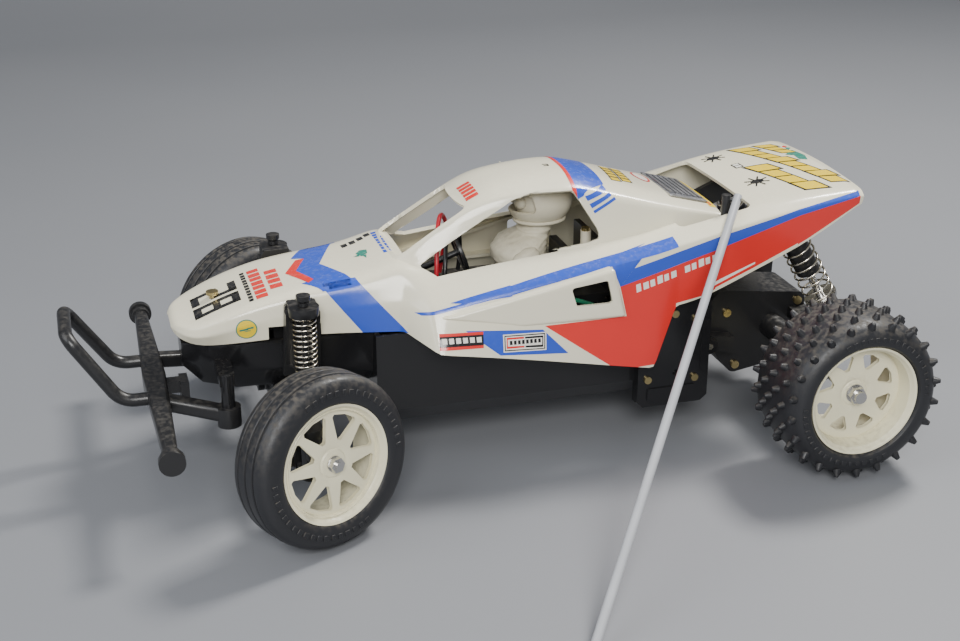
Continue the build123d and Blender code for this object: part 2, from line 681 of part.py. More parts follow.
# ---------------------------------------------------------------- front arms, uprights and stub axles
fork_low = 27.6
fork_high = 51.6
ear = 3.6
for side in (1, -1):
    name = side_name(side)
    with BuildPart() as front_arm:
        for x in (front_x - 9.5, front_x + 6.5):
            with BuildSketch(Plane.YZ.offset(x)):
                with Locations((side * arm_pivot_y, arm_pivot_z)):
                    Circle(4)
                with Locations((side * 44, arm_pivot_z)):
                    Rectangle(56, 5)
                with Locations((side * arm_pivot_y, arm_pivot_z)):
                    Circle(1.56, mode=Mode.SUBTRACT)
            extrude(amount=3)
        with Locations((front_x, side * 43.2, arm_pivot_z)):
            Box(19, 9, 5)
        with Locations((front_x, side * 69, arm_pivot_z)):
            Box(19, 6, 5)
        # fork round the upright
        with Locations((front_x, side * 73.2, (fork_low + fork_high) / 2)):
            Box(12, 4, fork_high - fork_low)
        for z in (fork_low, fork_high - ear):
            with BuildSketch(Plane.XY.offset(z)):
                with Locations((front_x, side * kingpin_y)):
                    Circle(5.4)
                with Locations((front_x, side * 77)):
                    Rectangle(10.8, 11)
            extrude(amount=ear)
        # lug and pin for the damper's foot
        with Locations((127.6, side * damper_y, 36)):
            Box(2.6, 8, 12)
        with BuildSketch(Plane.YZ.offset(119)):
            with Locations((side * damper_y, damper_foot_z)):
                Circle(1.3)
        extrude(amount=9)
        with Locations((front_x, side * kingpin_y, fork_low)):
            Cylinder(kingpin_r, fork_high - fork_low, align=(Align.CENTER, Align.CENTER, Align.MIN))
    finish(front_arm.part, f"front_arm_{name}")

    arm_tip = Vector(-steering_arm, 0, 0).rotate(Axis.Z, steer_lock)
    knuckle = Vector(front_x, side * kingpin_y, 0)
    with BuildPart() as upright:
        with Locations((front_x, side * kingpin_y, 39.6)):
            Cylinder(4.4, 16)
        with BuildSketch(hub_plane(side, 2)):
            Circle(4.2)
        extrude(amount=2.6)
        with BuildSketch(Plane(origin=(knuckle.X, knuckle.Y, 33.4), x_dir=arm_tip, z_dir=(0, 0, 1))):
            with Locations((steering_arm / 2, 0)):
                SlotCenterToCenter(steering_arm, 5)
        extrude(amount=2.4)
        with BuildSketch(Plane(origin=knuckle + arm_tip + Vector(0, 0, 30.4))):
            Circle(1.3)
        extrude(amount=3.2)
        with Locations((front_x, side * kingpin_y, 40)):
            Cylinder(kingpin_r + 0.06, 30, mode=Mode.SUBTRACT)
        with BuildSketch(hub_plane(side, 3)):
            Circle(stub_r)
        extrude(amount=6, mode=Mode.SUBTRACT)
    finish(upright.part, f"upright_{name}")

    with BuildPart() as front_stub_axle:
        with BuildSketch(hub_plane(side, 3)):
            Circle(stub_r)
        extrude(amount=18.7)
        with BuildSketch(hub_plane(side, 16.9)):
            Circle(3.6)
        extrude(amount=0.6)
        with BuildSketch(hub_plane(side, 17.4)):
            RegularPolygon(3.5, 6)
        extrude(amount=3)
    finish(front_stub_axle.part, f"front_stub_axle_{name}")


# ---------------------------------------------------------------- wheels
def spoked_rim(plane_at, width, face, hub_in, hub_out, bore):
    """Eight-spoke dish rim: barrel, two lips, perforated face and hub, along an axle.

    plane_at(s) is the plane square to the axle at s, measured from the rim's inner edge.
    """
    with BuildPart() as rim:
        with BuildSketch(plane_at(0)):
            Circle(rim_r - 0.4)
            Circle(rim_r - 2.2, mode=Mode.SUBTRACT)
        extrude(amount=width)
        for start in (0, width - 1.6):
            with BuildSketch(plane_at(start)):
                Circle(lip_r)
                Circle(rim_r - 2.2, mode=Mode.SUBTRACT)
            extrude(amount=1.6)
        with BuildSketch(plane_at(face - 2)):
            Circle(rim_r - 1)
            with PolarLocations(0, 8):
                Polygon((10.5, -2.1), (21.3, -5.2), (21.3, 5.2), (10.5, 2.1), align=None, mode=Mode.SUBTRACT)
        extrude(amount=2)
        with BuildSketch(plane_at(hub_in)):
            Circle(6)
        extrude(amount=hub_out - hub_in)
        with BuildSketch(plane_at(-1)):
            Circle(bore)
        extrude(amount=width + 2, mode=Mode.SUBTRACT)
    return rim.part


def hollow_tyre(plane_at, width, radius, crown_drop, shoulder_r, shoulder_in, grooves=(), pin_rows=()):
    """Hollow tyre round a rim, its profile turned about the axle.

    grooves are places across the tread; pin_rows are places across it that carry 16 pins each.
    """
    half = width / 2
    base = plane_at(0)
    centre = base.origin
    frame = Plane(origin=centre, x_dir=base.x_dir, z_dir=base.z_dir.cross(base.x_dir))
    skin = 3.2
    with BuildPart() as tyre:
        with BuildSketch(frame):
            with BuildLine():
                Polyline((rim_r - 0.4, -half + 3.6), (lip_r + 0.1, -half + 3.5), (lip_r + 0.3, -half + 1),
                         (31, -half), (shoulder_r, -half + 0.6),
                         (radius - crown_drop, -half + shoulder_in), (radius, -half / 3), (radius, half / 3),
                         (radius - crown_drop, half - shoulder_in), (shoulder_r, half - 0.6), (31, half),
                         (lip_r + 0.3, half - 1), (lip_r + 0.1, half - 3.5), (rim_r - 0.4, half - 3.6), close=True)
            make_face()
            with BuildLine():
                Polyline((rim_r - 0.5, -half + 5), (radius - skin - crown_drop, -half + skin + 1),
                         (radius - skin, -half / 3), (radius - skin, half / 3),
                         (radius - skin - crown_drop, half - skin - 1), (rim_r - 0.5, half - 5), close=True)
            make_face(mode=Mode.SUBTRACT)
        revolve(axis=Axis(centre, base.z_dir))
        for place in grooves:
            with BuildSketch(plane_at(place - 0.6)):
                Circle(radius + 1)
                Circle(radius - 1, mode=Mode.SUBTRACT)
            extrude(amount=1.2, mode=Mode.SUBTRACT)
        for row, place in enumerate(pin_rows):
            for index in range(16):
                angle = radians(11.25 * (row % 2) + 22.5 * index - 90)
                outward = Vector(cos(angle), 0, sin(angle))
                foot = plane_at(place).origin + outward * (radius - 1.6)
                with BuildSketch(Plane(origin=foot, z_dir=outward)):
                    Circle(1.7)
        if pin_rows:
            extrude(amount=pin_height + 1.6, taper=8)
    return tyre.part


for side in (1, -1):
    name = side_name(side)
    inner = tread_offset - front_rim_w / 2
    front_rim = spoked_rim(lambda s: hub_plane(side, inner + s), front_rim_w, 19.0, 8.6, 20.2, stub_r + 0.07)
    finish(front_rim, f"front_rim_{name}")
    front_tyre = hollow_tyre(lambda s: hub_plane(side, tread_offset + s), front_tyre_w, front_tyre_r,
                             0.5, 36.4, 4.0, grooves=(-5.6, 0, 5.6))
    finish(front_tyre, f"front_tyre_{name}")

    rim_in = rear_tyre_y - rear_rim_w / 2
    rear_rim = spoked_rim(lambda s: rear_plane(side, rim_in + s), rear_rim_w, 28.5, 14.0, 28.5, half_shaft_r)
    finish(rear_rim, f"rear_rim_{name}")
    rear_tyre = hollow_tyre(lambda s: rear_plane(side, rear_tyre_y + s), rear_tyre_w, rear_tyre_r,
                            0.8, 34.0, 4.5, pin_rows=(-14, -7, 0, 7, 14))
    finish(rear_tyre, f"rear_tyre_{name}")

    with BuildPart() as rear_half_shaft:
        with BuildSketch(rear_plane(side, 10.6)):
            Circle(half_shaft_r)
        extrude(amount=97.4)
        with BuildSketch(rear_plane(side, 101.6)):
            Circle(4.6)
        extrude(amount=0.7)
        with BuildSketch(rear_plane(side, 102.2)):
            RegularPolygon(4.2, 6)
        extrude(amount=3.4)
    finish(rear_half_shaft.part, f"rear_half_shaft_{name}")

# ---------------------------------------------------------------- front damper rods and springs
for side in (1, -1):
    name = side_name(side)
    with BuildPart() as front_damper_rod:
        turned = [(38.0, 1.5, 59.8), (55.6, 6.0, 1.8), (57.2, 2.6, 3.0), (92.9, 2.6, 1.6), (95.6, 3.3, 2.2)]
        for z, radius, height in turned:
            with BuildSketch(Plane.XY.offset(z)):
                with Locations((damper_x, side * damper_y)):
                    Circle(radius)
            extrude(amount=height)
        with BuildSketch(Plane.YZ.offset(119.2)):
            with Locations((side * damper_y, damper_foot_z)):
                Circle(4.7)
        extrude(amount=6)
        with BuildSketch(Plane.YZ.offset(118)):
            with Locations((side * damper_y, damper_foot_z)):
                Circle(3.4)
        extrude(amount=10, mode=Mode.SUBTRACT)
    finish(front_damper_rod.part, f"front_damper_rod_{name}")

    spring_foot = Plane(origin=(damper_x, side * damper_y, front_spring_bottom))
    finish(disc(spring_foot, front_spring_r, front_spring_top - front_spring_bottom, front_spring_r - 1.1),
           f"front_spring_{name}")

# ---------------------------------------------------------------- gearbox
case_points = [(rear_x, rear_axle_z, 17.5), (counter_axis[0], counter_axis[1], 15.6),
               (motor_axis[0], motor_axis[1], 8.5), (-108.4, 22.5, 4.5), (-101.8, 52.4, 5.0),
               (-142.0, 55.0, 4.5), (-140.0, 27.5, 4.5)]
gearbox_half = 15.0
for side in (1, -1):
    with BuildPart() as gearbox_case:
        with BuildSketch(Plane.XZ):
            with Locations(*[(x, z) for x, z, _ in case_points]):
                Circle(0.01)
            for x, z, radius in case_points:
                with Locations((x, z)):
                    Circle(radius)
            make_hull()
        extrude(amount=-side * gearbox_half)
        with BuildSketch(Plane.XZ):
            for x, z, radius in case_points[:3]:
                with Locations((x, z)):
                    Circle(radius - 2.0)
            make_hull()
        extrude(amount=-side * (gearbox_half - 2), mode=Mode.SUBTRACT)
        # axle tube
        with BuildSketch(Plane.XZ.offset(-side * (gearbox_half - 0.5))):
            with Locations((rear_x, rear_axle_z)):
                Circle(6.5)
        extrude(amount=-side * 58)
        # trailing link to the pivot
        with BuildSketch(Plane.XZ.offset(-side * 14)):
            with BuildLine():
                Polyline((rear_pivot[0], 36), (-104, 32), (-104, 41), (rear_pivot[0], 44), close=True)
            make_face()
            with Locations(rear_pivot):
                Circle(4)
        extrude(amount=-side * 8)
        # arm to the damper's foot
        with Locations((-142, side * 22, 49)):
            Box(10, 22, 6)
        with BuildSketch(Plane.XZ.offset(-side * 30)):
            with BuildLine():
                Polyline((-150, 47), (-138, 47), (-142, 62), (-150.5, 62), close=True)
            make_face()
        extrude(amount=-side * 3)
        with BuildSketch(Plane.XZ.offset(-side * 32)):
            with Locations(rear_damper_foot):
                Circle(1.5)
        extrude(amount=-side * 9)
        with BuildSketch(Plane.XZ.offset(-side * 5)):
            with Locations((rear_x, rear_axle_z)):
                Circle(half_shaft_r + 0.07)
            with Locations(rear_pivot):
                Circle(1.56)
        extrude(amount=-side * 80, mode=Mode.SUBTRACT)
        if side < 0:
            with BuildSketch(Plane.XZ.offset(5)):
                with Locations(motor_axis):
                    Circle(4.8)
            extrude(amount=12, mode=Mode.SUBTRACT)
    finish(gearbox_case.part, f"gearbox_half_{side_name(side)}")

case_screws = [(-108.4, 22.5), (-101.8, 52.4), (-142.0, 55.0), (-140.0, 27.5)]
with BuildPart() as gearbox_screws:
    for x, z in case_screws:
        with BuildSketch(Plane.XZ.offset(-gearbox_half)):
            with Locations((x, z)):
                Circle(2.2)
        extrude(amount=-1.4)
finish(gearbox_screws.part, "gearbox_screws")

with BuildPart() as motor:
    with BuildSketch(Plane.XZ.offset(gearbox_half)):
        with Locations(motor_axis):
            Circle(motor_r)
            Circle(1.7, mode=Mode.SUBTRACT)
    extrude(amount=35)
    with BuildSketch(Plane.XZ.offset(gearbox_half + 35)):
        with Locations(motor_axis):
            Circle(5)
            Circle(1.7, mode=Mode.SUBTRACT)
    extrude(amount=3)
finish(motor.part, "motor")

counter_plane = Plane(origin=(counter_axis[0], 0, counter_axis[1]), x_dir=(1, 0, 0), z_dir=(0, 1, 0))
drive_plane = Plane(origin=(rear_x, 0, rear_axle_z), x_dir=(1, 0, 0), z_dir=(0, 1, 0))
pinion_plane = Plane(origin=(motor_axis[0], 0, motor_axis[1]), x_dir=(1, 0, 0), z_dir=(0, 1, 0))
with BuildPart() as drive_gear:
    add(toothed_wheel(drive_plane.offset(2), drive_teeth, 6, 0))
    add(disc(drive_plane.offset(-10), 7, 20))
finish(drive_gear.part, "drive_gear")

with BuildPart() as counter_gear:
    add(toothed_wheel(counter_plane.offset(1.8), counter_small_teeth, 7, 0))
    add(toothed_wheel(counter_plane.offset(-6), counter_large_teeth, 5, 0))
    add(disc(counter_plane.offset(-12.5), 2, 25))
finish(counter_gear.part, "counter_gear")

with BuildPart() as motor_pinion:
    add(toothed_wheel(pinion_plane.offset(-8), pinion_teeth, 9, 0))
    add(disc(pinion_plane.offset(-50), 1.6, 43))
finish(motor_pinion.part, "motor_pinion")

# ---------------------------------------------------------------- rear dampers
rear_damper_length = hypot(rear_damper_foot[0] - rear_damper_top[0], rear_damper_foot[1] - rear_damper_top[1])
for side in (1, -1):
    name = side_name(side)
    pin_plane = Plane(origin=(rear_damper_top[0], side * 33.7, rear_damper_top[1]), x_dir=(1, 0, 0),
                      z_dir=(0, side, 0))
    foot_plane = Plane(origin=(rear_damper_foot[0], side * 33.7, rear_damper_foot[1]), x_dir=(1, 0, 0),
                       z_dir=(0, side, 0))
    with BuildPart() as rear_damper_cylinder:
        add(disc(pin_plane, 4.2, 6.6))
        add(disc(damper_plane(side, 1), 6, 31))
        add(disc(damper_plane(side, 3.2), 8.2, 2))
        with BuildSketch(pin_plane.offset(-4)):
            Circle(2.08)
        extrude(amount=16, mode=Mode.SUBTRACT)
        with BuildSketch(damper_plane(side, 5)):
            Circle(2.06)
        extrude(amount=30, mode=Mode.SUBTRACT)
    finish(rear_damper_cylinder.part, f"rear_damper_cylinder_{name}")

    with BuildPart() as rear_damper_shaft:
        add(disc(damper_plane(side, 18.5), 2, rear_damper_length - 22))
        add(disc(damper_plane(side, 48.2), 8.4, 1.6))
        add(disc(foot_plane, 4.4, 6.6))
        with BuildSketch(foot_plane.offset(-2)):
            Circle(2.2)
        extrude(amount=12, mode=Mode.SUBTRACT)
    finish(rear_damper_shaft.part, f"rear_damper_shaft_{name}")

    finish(disc(damper_plane(side, 5.5), rear_spring_r, 42.4, rear_spring_r - 1.2), f"rear_spring_{name}")
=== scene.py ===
from math import sin, cos, tan, pi, radians, hypot

import bmesh
import bpy
from mathutils import Matrix, Vector


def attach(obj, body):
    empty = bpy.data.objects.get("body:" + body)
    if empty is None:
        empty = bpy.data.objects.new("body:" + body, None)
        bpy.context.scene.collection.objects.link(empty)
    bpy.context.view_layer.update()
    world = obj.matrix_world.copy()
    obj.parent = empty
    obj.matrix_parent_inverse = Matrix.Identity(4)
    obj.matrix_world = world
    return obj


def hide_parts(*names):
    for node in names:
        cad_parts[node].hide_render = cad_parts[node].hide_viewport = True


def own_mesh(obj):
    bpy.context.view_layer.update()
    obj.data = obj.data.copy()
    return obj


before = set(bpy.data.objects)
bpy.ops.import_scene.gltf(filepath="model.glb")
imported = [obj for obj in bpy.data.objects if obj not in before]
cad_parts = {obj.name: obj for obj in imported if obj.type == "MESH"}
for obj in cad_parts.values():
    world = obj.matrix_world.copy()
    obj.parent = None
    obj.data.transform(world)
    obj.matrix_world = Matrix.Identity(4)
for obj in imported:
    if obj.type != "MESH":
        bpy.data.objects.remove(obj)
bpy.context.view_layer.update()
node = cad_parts

# ------------------------------------------------------------------ floor, light and camera
# A plain grey table top that curves up at its far edge, a small key light high behind the rear
# right wheel, two larger lights in front, and the camera above the buggy's left side.
paper = bpy.data.materials.new("table_paper")
paper.use_nodes = True
paper_nodes, paper_links = paper.node_tree.nodes, paper.node_tree.links
paper_shader = paper_nodes["Principled BSDF"]
paper_shader.inputs["Roughness"].default_value = 0.55
paper_place = paper_nodes.new("ShaderNodeTexCoord")
paper_cloud = paper_nodes.new("ShaderNodeTexNoise")
paper_cloud.inputs["Scale"].default_value = 3.0
paper_tone = paper_nodes.new("ShaderNodeValToRGB")
paper_tone.color_ramp.elements[0].color = (0.205, 0.212, 0.228, 1)
paper_tone.color_ramp.elements[1].color = (0.232, 0.238, 0.252, 1)
paper_links.new(paper_place.outputs["Object"], paper_cloud.inputs["Vector"])
paper_links.new(paper_cloud.outputs["Fac"], paper_tone.inputs["Fac"])
paper_links.new(paper_tone.outputs["Color"], paper_shader.inputs["Base Color"])

table_half, wall_foot_y, wall_top_y, wall_height, cove_radius = 3.0, -1.7, -2.3, 2.6, 0.7
sheet = bmesh.new()
bmesh.ops.create_grid(sheet, x_segments=1, y_segments=1, size=table_half)
far_edge = [edge for edge in sheet.edges if all(v.co.y < 0 for v in edge.verts)]
for vert in far_edge[0].verts:
    vert.co.y = wall_foot_y
risen = bmesh.ops.extrude_edge_only(sheet, edges=far_edge)["geom"]
bmesh.ops.translate(sheet, verts=[g for g in risen if isinstance(g, bmesh.types.BMVert)],
                    vec=(0, wall_top_y - wall_foot_y, wall_height))
bmesh.ops.bevel(sheet, geom=far_edge, offset=cove_radius, offset_type="OFFSET", segments=12, profile=0.5,
                affect="EDGES", material=-1)
bmesh.ops.recalc_face_normals(sheet, faces=sheet.faces)
mesh = bpy.data.meshes.new("table")
sheet.to_mesh(mesh)
sheet.free()
mesh.materials.append(paper)
for face in mesh.polygons:
    face.use_smooth = True
table = bpy.data.objects.new("table", mesh)
bpy.context.scene.collection.objects.link(table)

sky = bpy.data.worlds.new("room")
bpy.context.scene.world = sky
sky.use_nodes = True
sky.node_tree.nodes["Background"].inputs["Color"].default_value = (0.80, 0.84, 0.92, 1)
sky.node_tree.nodes["Background"].inputs["Strength"].default_value = 0.38
for lamp_name, place, size, power, colour in (
        ("key_light", (-0.62, -0.25, 1.05), 0.26, 19.0, (1.0, 0.98, 0.94)),
        ("front_light", (0.35, 1.25, 0.85), 0.60, 20.0, (1.0, 0.99, 0.97)),
        ("side_light", (1.1, 0.3, 0.9), 0.9, 9.0, (0.93, 0.96, 1.0))):
    lamp = bpy.data.lights.new(lamp_name, "AREA")
    lamp.size, lamp.energy, lamp.color = size, power, colour
    lamp_object = bpy.data.objects.new(lamp_name, lamp)
    lamp_object.location = place
    lamp_object.rotation_euler = (Vector((0, 0, 0.05)) - Vector(place)).to_track_quat("-Z", "Y").to_euler()
    bpy.context.scene.collection.objects.link(lamp_object)

lens = bpy.data.cameras.new("camera")
lens.lens, lens.sensor_width = 55.37, 36.0
camera = bpy.data.objects.new("camera", lens)
camera.location = (0.2195, 0.6564, 0.3423)
camera.rotation_euler = (radians(90 - 22.64), 0, radians(163.61))
bpy.context.scene.collection.objects.link(camera)
bpy.context.scene.camera = camera

# ------------------------------------------------------------------ moulded black plastic parts
# Tub, bumper, towers, arms, steering and gearbox are glossy black nylon and ABS mouldings.
# Their edges are slightly rounded by the mould, and years of fine dust lie on the upper faces.
def moulding_finish(name, colour, rough, dust_colour=(0.20, 0.18, 0.15), dust=0.25, grain=900.0, relief=0.00004,
                    metal=0.0, mottle=0.12, coat=0.0):
    """A finish with colour mottle, dust on its upper faces, uneven gloss and a fine surface grain."""
    finish = bpy.data.materials.new(name)
    finish.use_nodes = True
    nodes, links = finish.node_tree.nodes, finish.node_tree.links
    shader = nodes["Principled BSDF"]
    shader.inputs["Metallic"].default_value = metal
    shader.inputs["Coat Weight"].default_value = coat
    shader.inputs["Coat Roughness"].default_value = 0.12
    place = nodes.new("ShaderNodeTexCoord")
    cloud = nodes.new("ShaderNodeTexNoise")
    cloud.inputs["Scale"].default_value = 38.0
    cloud.inputs["Detail"].default_value = 6.0
    links.new(place.outputs["Object"], cloud.inputs["Vector"])
    tone = nodes.new("ShaderNodeMix")
    tone.data_type = "RGBA"
    tone.inputs["A"].default_value = tuple(c * (1 - mottle) for c in colour) + (1,)
    tone.inputs["B"].default_value = tuple(min(c * (1 + mottle), 1) for c in colour) + (1,)
    links.new(cloud.outputs["Fac"], tone.inputs["Factor"])
    # dust: upward faces, broken up by a speckled noise
    facing = nodes.new("ShaderNodeNewGeometry")
    axes = nodes.new("ShaderNodeSeparateXYZ")
    links.new(facing.outputs["Normal"], axes.inputs["Vector"])
    up = nodes.new("ShaderNodeMapRange")
    up.inputs["From Min"].default_value = 0.1
    up.inputs["From Max"].default_value = 1.0
    links.new(axes.outputs["Z"], up.inputs["Value"])
    speck = nodes.new("ShaderNodeTexNoise")
    speck.inputs["Scale"].default_value = 420.0
    speck.inputs["Detail"].default_value = 3.0
    links.new(place.outputs["Object"], speck.inputs["Vector"])
    speck_range = nodes.new("ShaderNodeMapRange")
    speck_range.inputs["From Min"].default_value = 0.42
    speck_range.inputs["From Max"].default_value = 0.72
    speck_range.inputs["To Max"].default_value = dust
    links.new(speck.outputs["Fac"], speck_range.inputs["Value"])
    amount = nodes.new("ShaderNodeMath")
    amount.operation = "MULTIPLY"
    links.new(up.outputs["Result"], amount.inputs[0])
    links.new(speck_range.outputs["Result"], amount.inputs[1])
    dusty = nodes.new("ShaderNodeMix")
    dusty.data_type = "RGBA"
    dusty.inputs["B"].default_value = tuple(dust_colour) + (1,)
    links.new(tone.outputs["Result"], dusty.inputs["A"])
    links.new(amount.outputs["Value"], dusty.inputs["Factor"])
    links.new(dusty.outputs["Result"], shader.inputs["Base Color"])
    gloss = nodes.new("ShaderNodeMapRange")
    gloss.inputs["To Min"].default_value = max(rough - 0.07, 0.03)
    gloss.inputs["To Max"].default_value = rough + 0.10
    links.new(cloud.outputs["Fac"], gloss.inputs["Value"])
    gloss_dust = nodes.new("ShaderNodeMath")
    gloss_dust.operation = "ADD"
    links.new(gloss.outputs["Result"], gloss_dust.inputs[0])
    links.new(amount.outputs["Value"], gloss_dust.inputs[1])
    links.new(gloss_dust.outputs["Value"], shader.inputs["Roughness"])
    tooth = nodes.new("ShaderNodeTexNoise")
    tooth.inputs["Scale"].default_value = grain
    tooth.inputs["Detail"].default_value = 2.0
    links.new(place.outputs["Object"], tooth.inputs["Vector"])
    bump = nodes.new("ShaderNodeBump")
    bump.inputs["Strength"].default_value = 0.5
    bump.inputs["Distance"].default_value = relief
    links.new(tooth.outputs["Fac"], bump.inputs["Height"])
    links.new(bump.outputs["Normal"], shader.inputs["Normal"])
    return finish


def dress(names, finish, edge=0.0):
    """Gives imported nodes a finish, and rounds their moulded edges where edge is set."""
    for name in names:
        piece = node[name]
        if piece.material_slots:
            piece.material_slots[0].material = finish
        else:
            piece.data.materials.append(finish)
        if edge:
            weld = piece.modifiers.new("weld", "WELD")
            weld.merge_threshold = 0.00002
            soft = piece.modifiers.new("soft_edge", "BEVEL")
            soft.width, soft.segments, soft.limit_method = edge, 2, "ANGLE"
            soft.angle_limit = radians(35)
            soft.use_clamp_overlap = True


both = ("left", "right")
glossy_black = moulding_finish("glossy_black_plastic", (0.011, 0.011, 0.012), 0.20, dust=0.10)
worn_black = moulding_finish("worn_black_plastic", (0.014, 0.014, 0.015), 0.30, dust=0.22)
dress(["chassis_tub"], glossy_black, 0.0006)
dress(["front_bumper", "front_towers", "cockpit_tray", "rear_tower", "servo_horn"], worn_black, 0.0004)
dress([f"side_plate_{side}" for side in both], glossy_black, 0.0003)
dress([f"front_arm_{side}" for side in both] + [f"upright_{side}" for side in both]
      + [f"tie_rod_{side}" for side in both], worn_black, 0.0003)
dress([f"gearbox_half_{side}" for side in both], worn_black, 0.0004)
dress([f"front_damper_rod_{side}" for side in both] + [f"rear_damper_cylinder_{side}" for side in both],
      worn_black)

# ------------------------------------------------------------------ bright metal, electrics and gears
# Turned steel axles, pins and shafts, yellow-plated screws, nylon gears, the wrapped battery
# and the black cases in the tub.
bright_steel = moulding_finish("turned_steel", (0.60, 0.59, 0.57), 0.24, dust=0.05, metal=1.0, grain=1500)
plated = moulding_finish("yellow_plated_steel", (0.62, 0.50, 0.24), 0.26, dust=0.08, metal=1.0, grain=1500)
nylon = moulding_finish("natural_nylon", (0.72, 0.70, 0.62), 0.40, dust=0.10)
case_black = moulding_finish("electronics_case", (0.02, 0.02, 0.022), 0.48, dust=0.12, grain=2200,
                             relief=0.00008)
shrink_wrap = moulding_finish("battery_wrap", (0.60, 0.45, 0.05), 0.25, dust=0.10)
dress([f"{shaft}_{side}" for shaft in ("front_stub_axle", "rear_half_shaft", "rear_damper_shaft")
       for side in both], bright_steel)
dress(["suspension_pins", "motor", "motor_pinion"], bright_steel)
dress(["chassis_screws", "gearbox_screws"], plated)
dress(["drive_gear", "counter_gear"], nylon)
dress(["receiver", "speed_controller", "steering_servo", "power_switch", "switch_slider"], case_black, 0.0004)
dress(["battery_pack"], shrink_wrap)
antenna_grey = moulding_finish("antenna_tube_grey", (0.42, 0.43, 0.45), 0.30, dust=0.05, grain=500)
dress(["antenna_tube"], antenna_grey)

# ------------------------------------------------------------------ body shell
# A thin cream polystyrene moulding: boat-shaped hull with a ridge and a side crease, a cabin
# with open windows, and a raised tail. It is one moulding, screwed to the tub.
body_cream = moulding_finish("aged_cream_styrene", (0.80, 0.755, 0.585), 0.16, dust_colour=(0.52, 0.44, 0.28),
                             dust=0.10, mottle=0.035, grain=600, relief=0.00003, coat=0.3)
wall = 0.0018
hull_rows = [                # x, crown z, ridge (y, z), crease (y, z), lower edge (y, z), in mm
    (179.0, 76.5, (8.0, 76.2), (9.0, 75.2), (8.0, 74.4)),
    (177.0, 78.9, (14.5, 78.2), (15.5, 75.3), (13.5, 71.6)),
    (170.0, 79.9, (24.5, 79.0), (25.2, 74.0), (21.0, 69.5)),
    (158.0, 85.1, (27.5, 84.3), (28.2, 77.0), (25.0, 70.0)),
    (137.0, 91.9, (29.0, 91.2), (30.4, 82.0), (30.0, 72.5)),
    (115.0, 95.5, (28.5, 94.5), (31.4, 84.0), (32.0, 73.5)),
    (94.0, 97.9, (29.0, 96.0), (32.4, 84.0), (34.0, 72.5)),
    (74.0, 104.6, (28.5, 102.5), (36.2, 85.0), (36.5, 71.7)),
    (62.0, 101.2, (30.5, 98.8), (46.0, 83.8), (56.8, 66.5)),
    (20.0, 103.2, (32.5, 101.2), (49.0, 91.6), (56.3, 59.0)),
    (-25.0, 105.2, (32.5, 104.7), (50.5, 99.6), (54.3, 49.0)),
    (-46.0, 107.2, (33.5, 107.2), (51.0, 103.5), (52.8, 44.5)),
    (-57.0, 108.7, (34.5, 109.7), (51.0, 105.5), (50.6, 75.0)),
    (-72.0, 111.2, (36.5, 112.2), (51.0, 108.5), (49.7, 77.0)),
    (-97.0, 119.7, (40.5, 118.9), (50.5, 114.0), (49.3, 88.0)),
    (-126.0, 125.7, (43.5, 122.7), (50.0, 118.2), (49.1, 100.0)),
    (-151.0, 127.2, (45.5, 124.2), (49.0, 121.0), (48.3, 115.5)),
    (-155.0, 126.6, (44.8, 123.7), (48.2, 120.8), (47.6, 116.3)),
]


def skin_grid(rows, sharp_columns, sharp_rows, levels):
    """Half outlines are mirrored and joined lengthwise, then subdivided; returns a bmesh of the outer skin."""
    skin = bmesh.new()
    crease = skin.edges.layers.float.new("crease_edge")
    corner = skin.verts.layers.float.new("crease_vert")
    half_count = len(rows[0]) - 1
    across = 2 * half_count - 1
    bmesh.ops.create_grid(skin, x_segments=across - 1, y_segments=len(rows) - 1, size=1)
    grid = sorted(skin.verts, key=lambda v: (round(v.co.y, 4), round(v.co.x, 4)))
    for r, (x, crown, *points) in enumerate(rows):
        outline = [(-y, z) for y, z in reversed(points)] + [(0, crown)] + list(points)
        for c, (y, z) in enumerate(outline):
            grid[r * across + c].co = Vector((x, y, z)) / 1000
    place = {vert: divmod(index, across) for index, vert in enumerate(grid)}
    for edge in skin.edges:
        (r0, c0), (r1, c1) = (place[v] for v in edge.verts)
        if c0 == c1:
            edge[crease] = sharp_columns.get(abs(c0 - half_count + 1), 0.0)
        else:
            outermost = max(abs(c0 - half_count + 1), abs(c1 - half_count + 1))
            edge[crease] = sharp_rows.get(r0, {}).get(outermost, 0.0)
    for vert, (r, c) in place.items():
        if c in (0, across - 1) and r in sharp_rows:
            vert[corner] = 0.8
    skin.normal_update()
    if sum(face.normal.z for face in skin.faces) < 0:
        bmesh.ops.reverse_faces(skin, faces=skin.faces)
    rough = bpy.data.meshes.new("rough_skin")
    skin.to_mesh(rough)
    skin.free()
    holder = bpy.data.objects.new("rough_skin", rough)
    bpy.context.scene.collection.objects.link(holder)
    smooth = holder.modifiers.new("smooth", "SUBSURF")
    smooth.levels = smooth.render_levels = levels
    bpy.context.view_layer.update()
    fine = bpy.data.meshes.new_from_object(holder.evaluated_get(bpy.context.evaluated_depsgraph_get()))
    bpy.data.objects.remove(holder)
    skin = bmesh.new()
    skin.from_mesh(fine)
    return skin


def rounded(corners, radius, steps=4):
    """A convex outline with its corners rounded."""
    outline = []
    for before, here, after in zip(corners[-1:] + corners[:-1], corners, corners[1:] + corners[:1]):
        here = Vector(here)
        to_before, to_after = (Vector(before) - here).normalized(), (Vector(after) - here).normalized()
        half = to_before.angle(to_after) / 2
        centre = here + (to_before + to_after).normalized() * radius / sin(half)
        start, end = here + to_before * radius / tan(half), here + to_after * radius / tan(half)
        for step in range(steps + 1):
            turn = (start - centre).lerp(end - centre, step / steps)
            outline.append(centre + turn.normalized() * radius)
    return outline


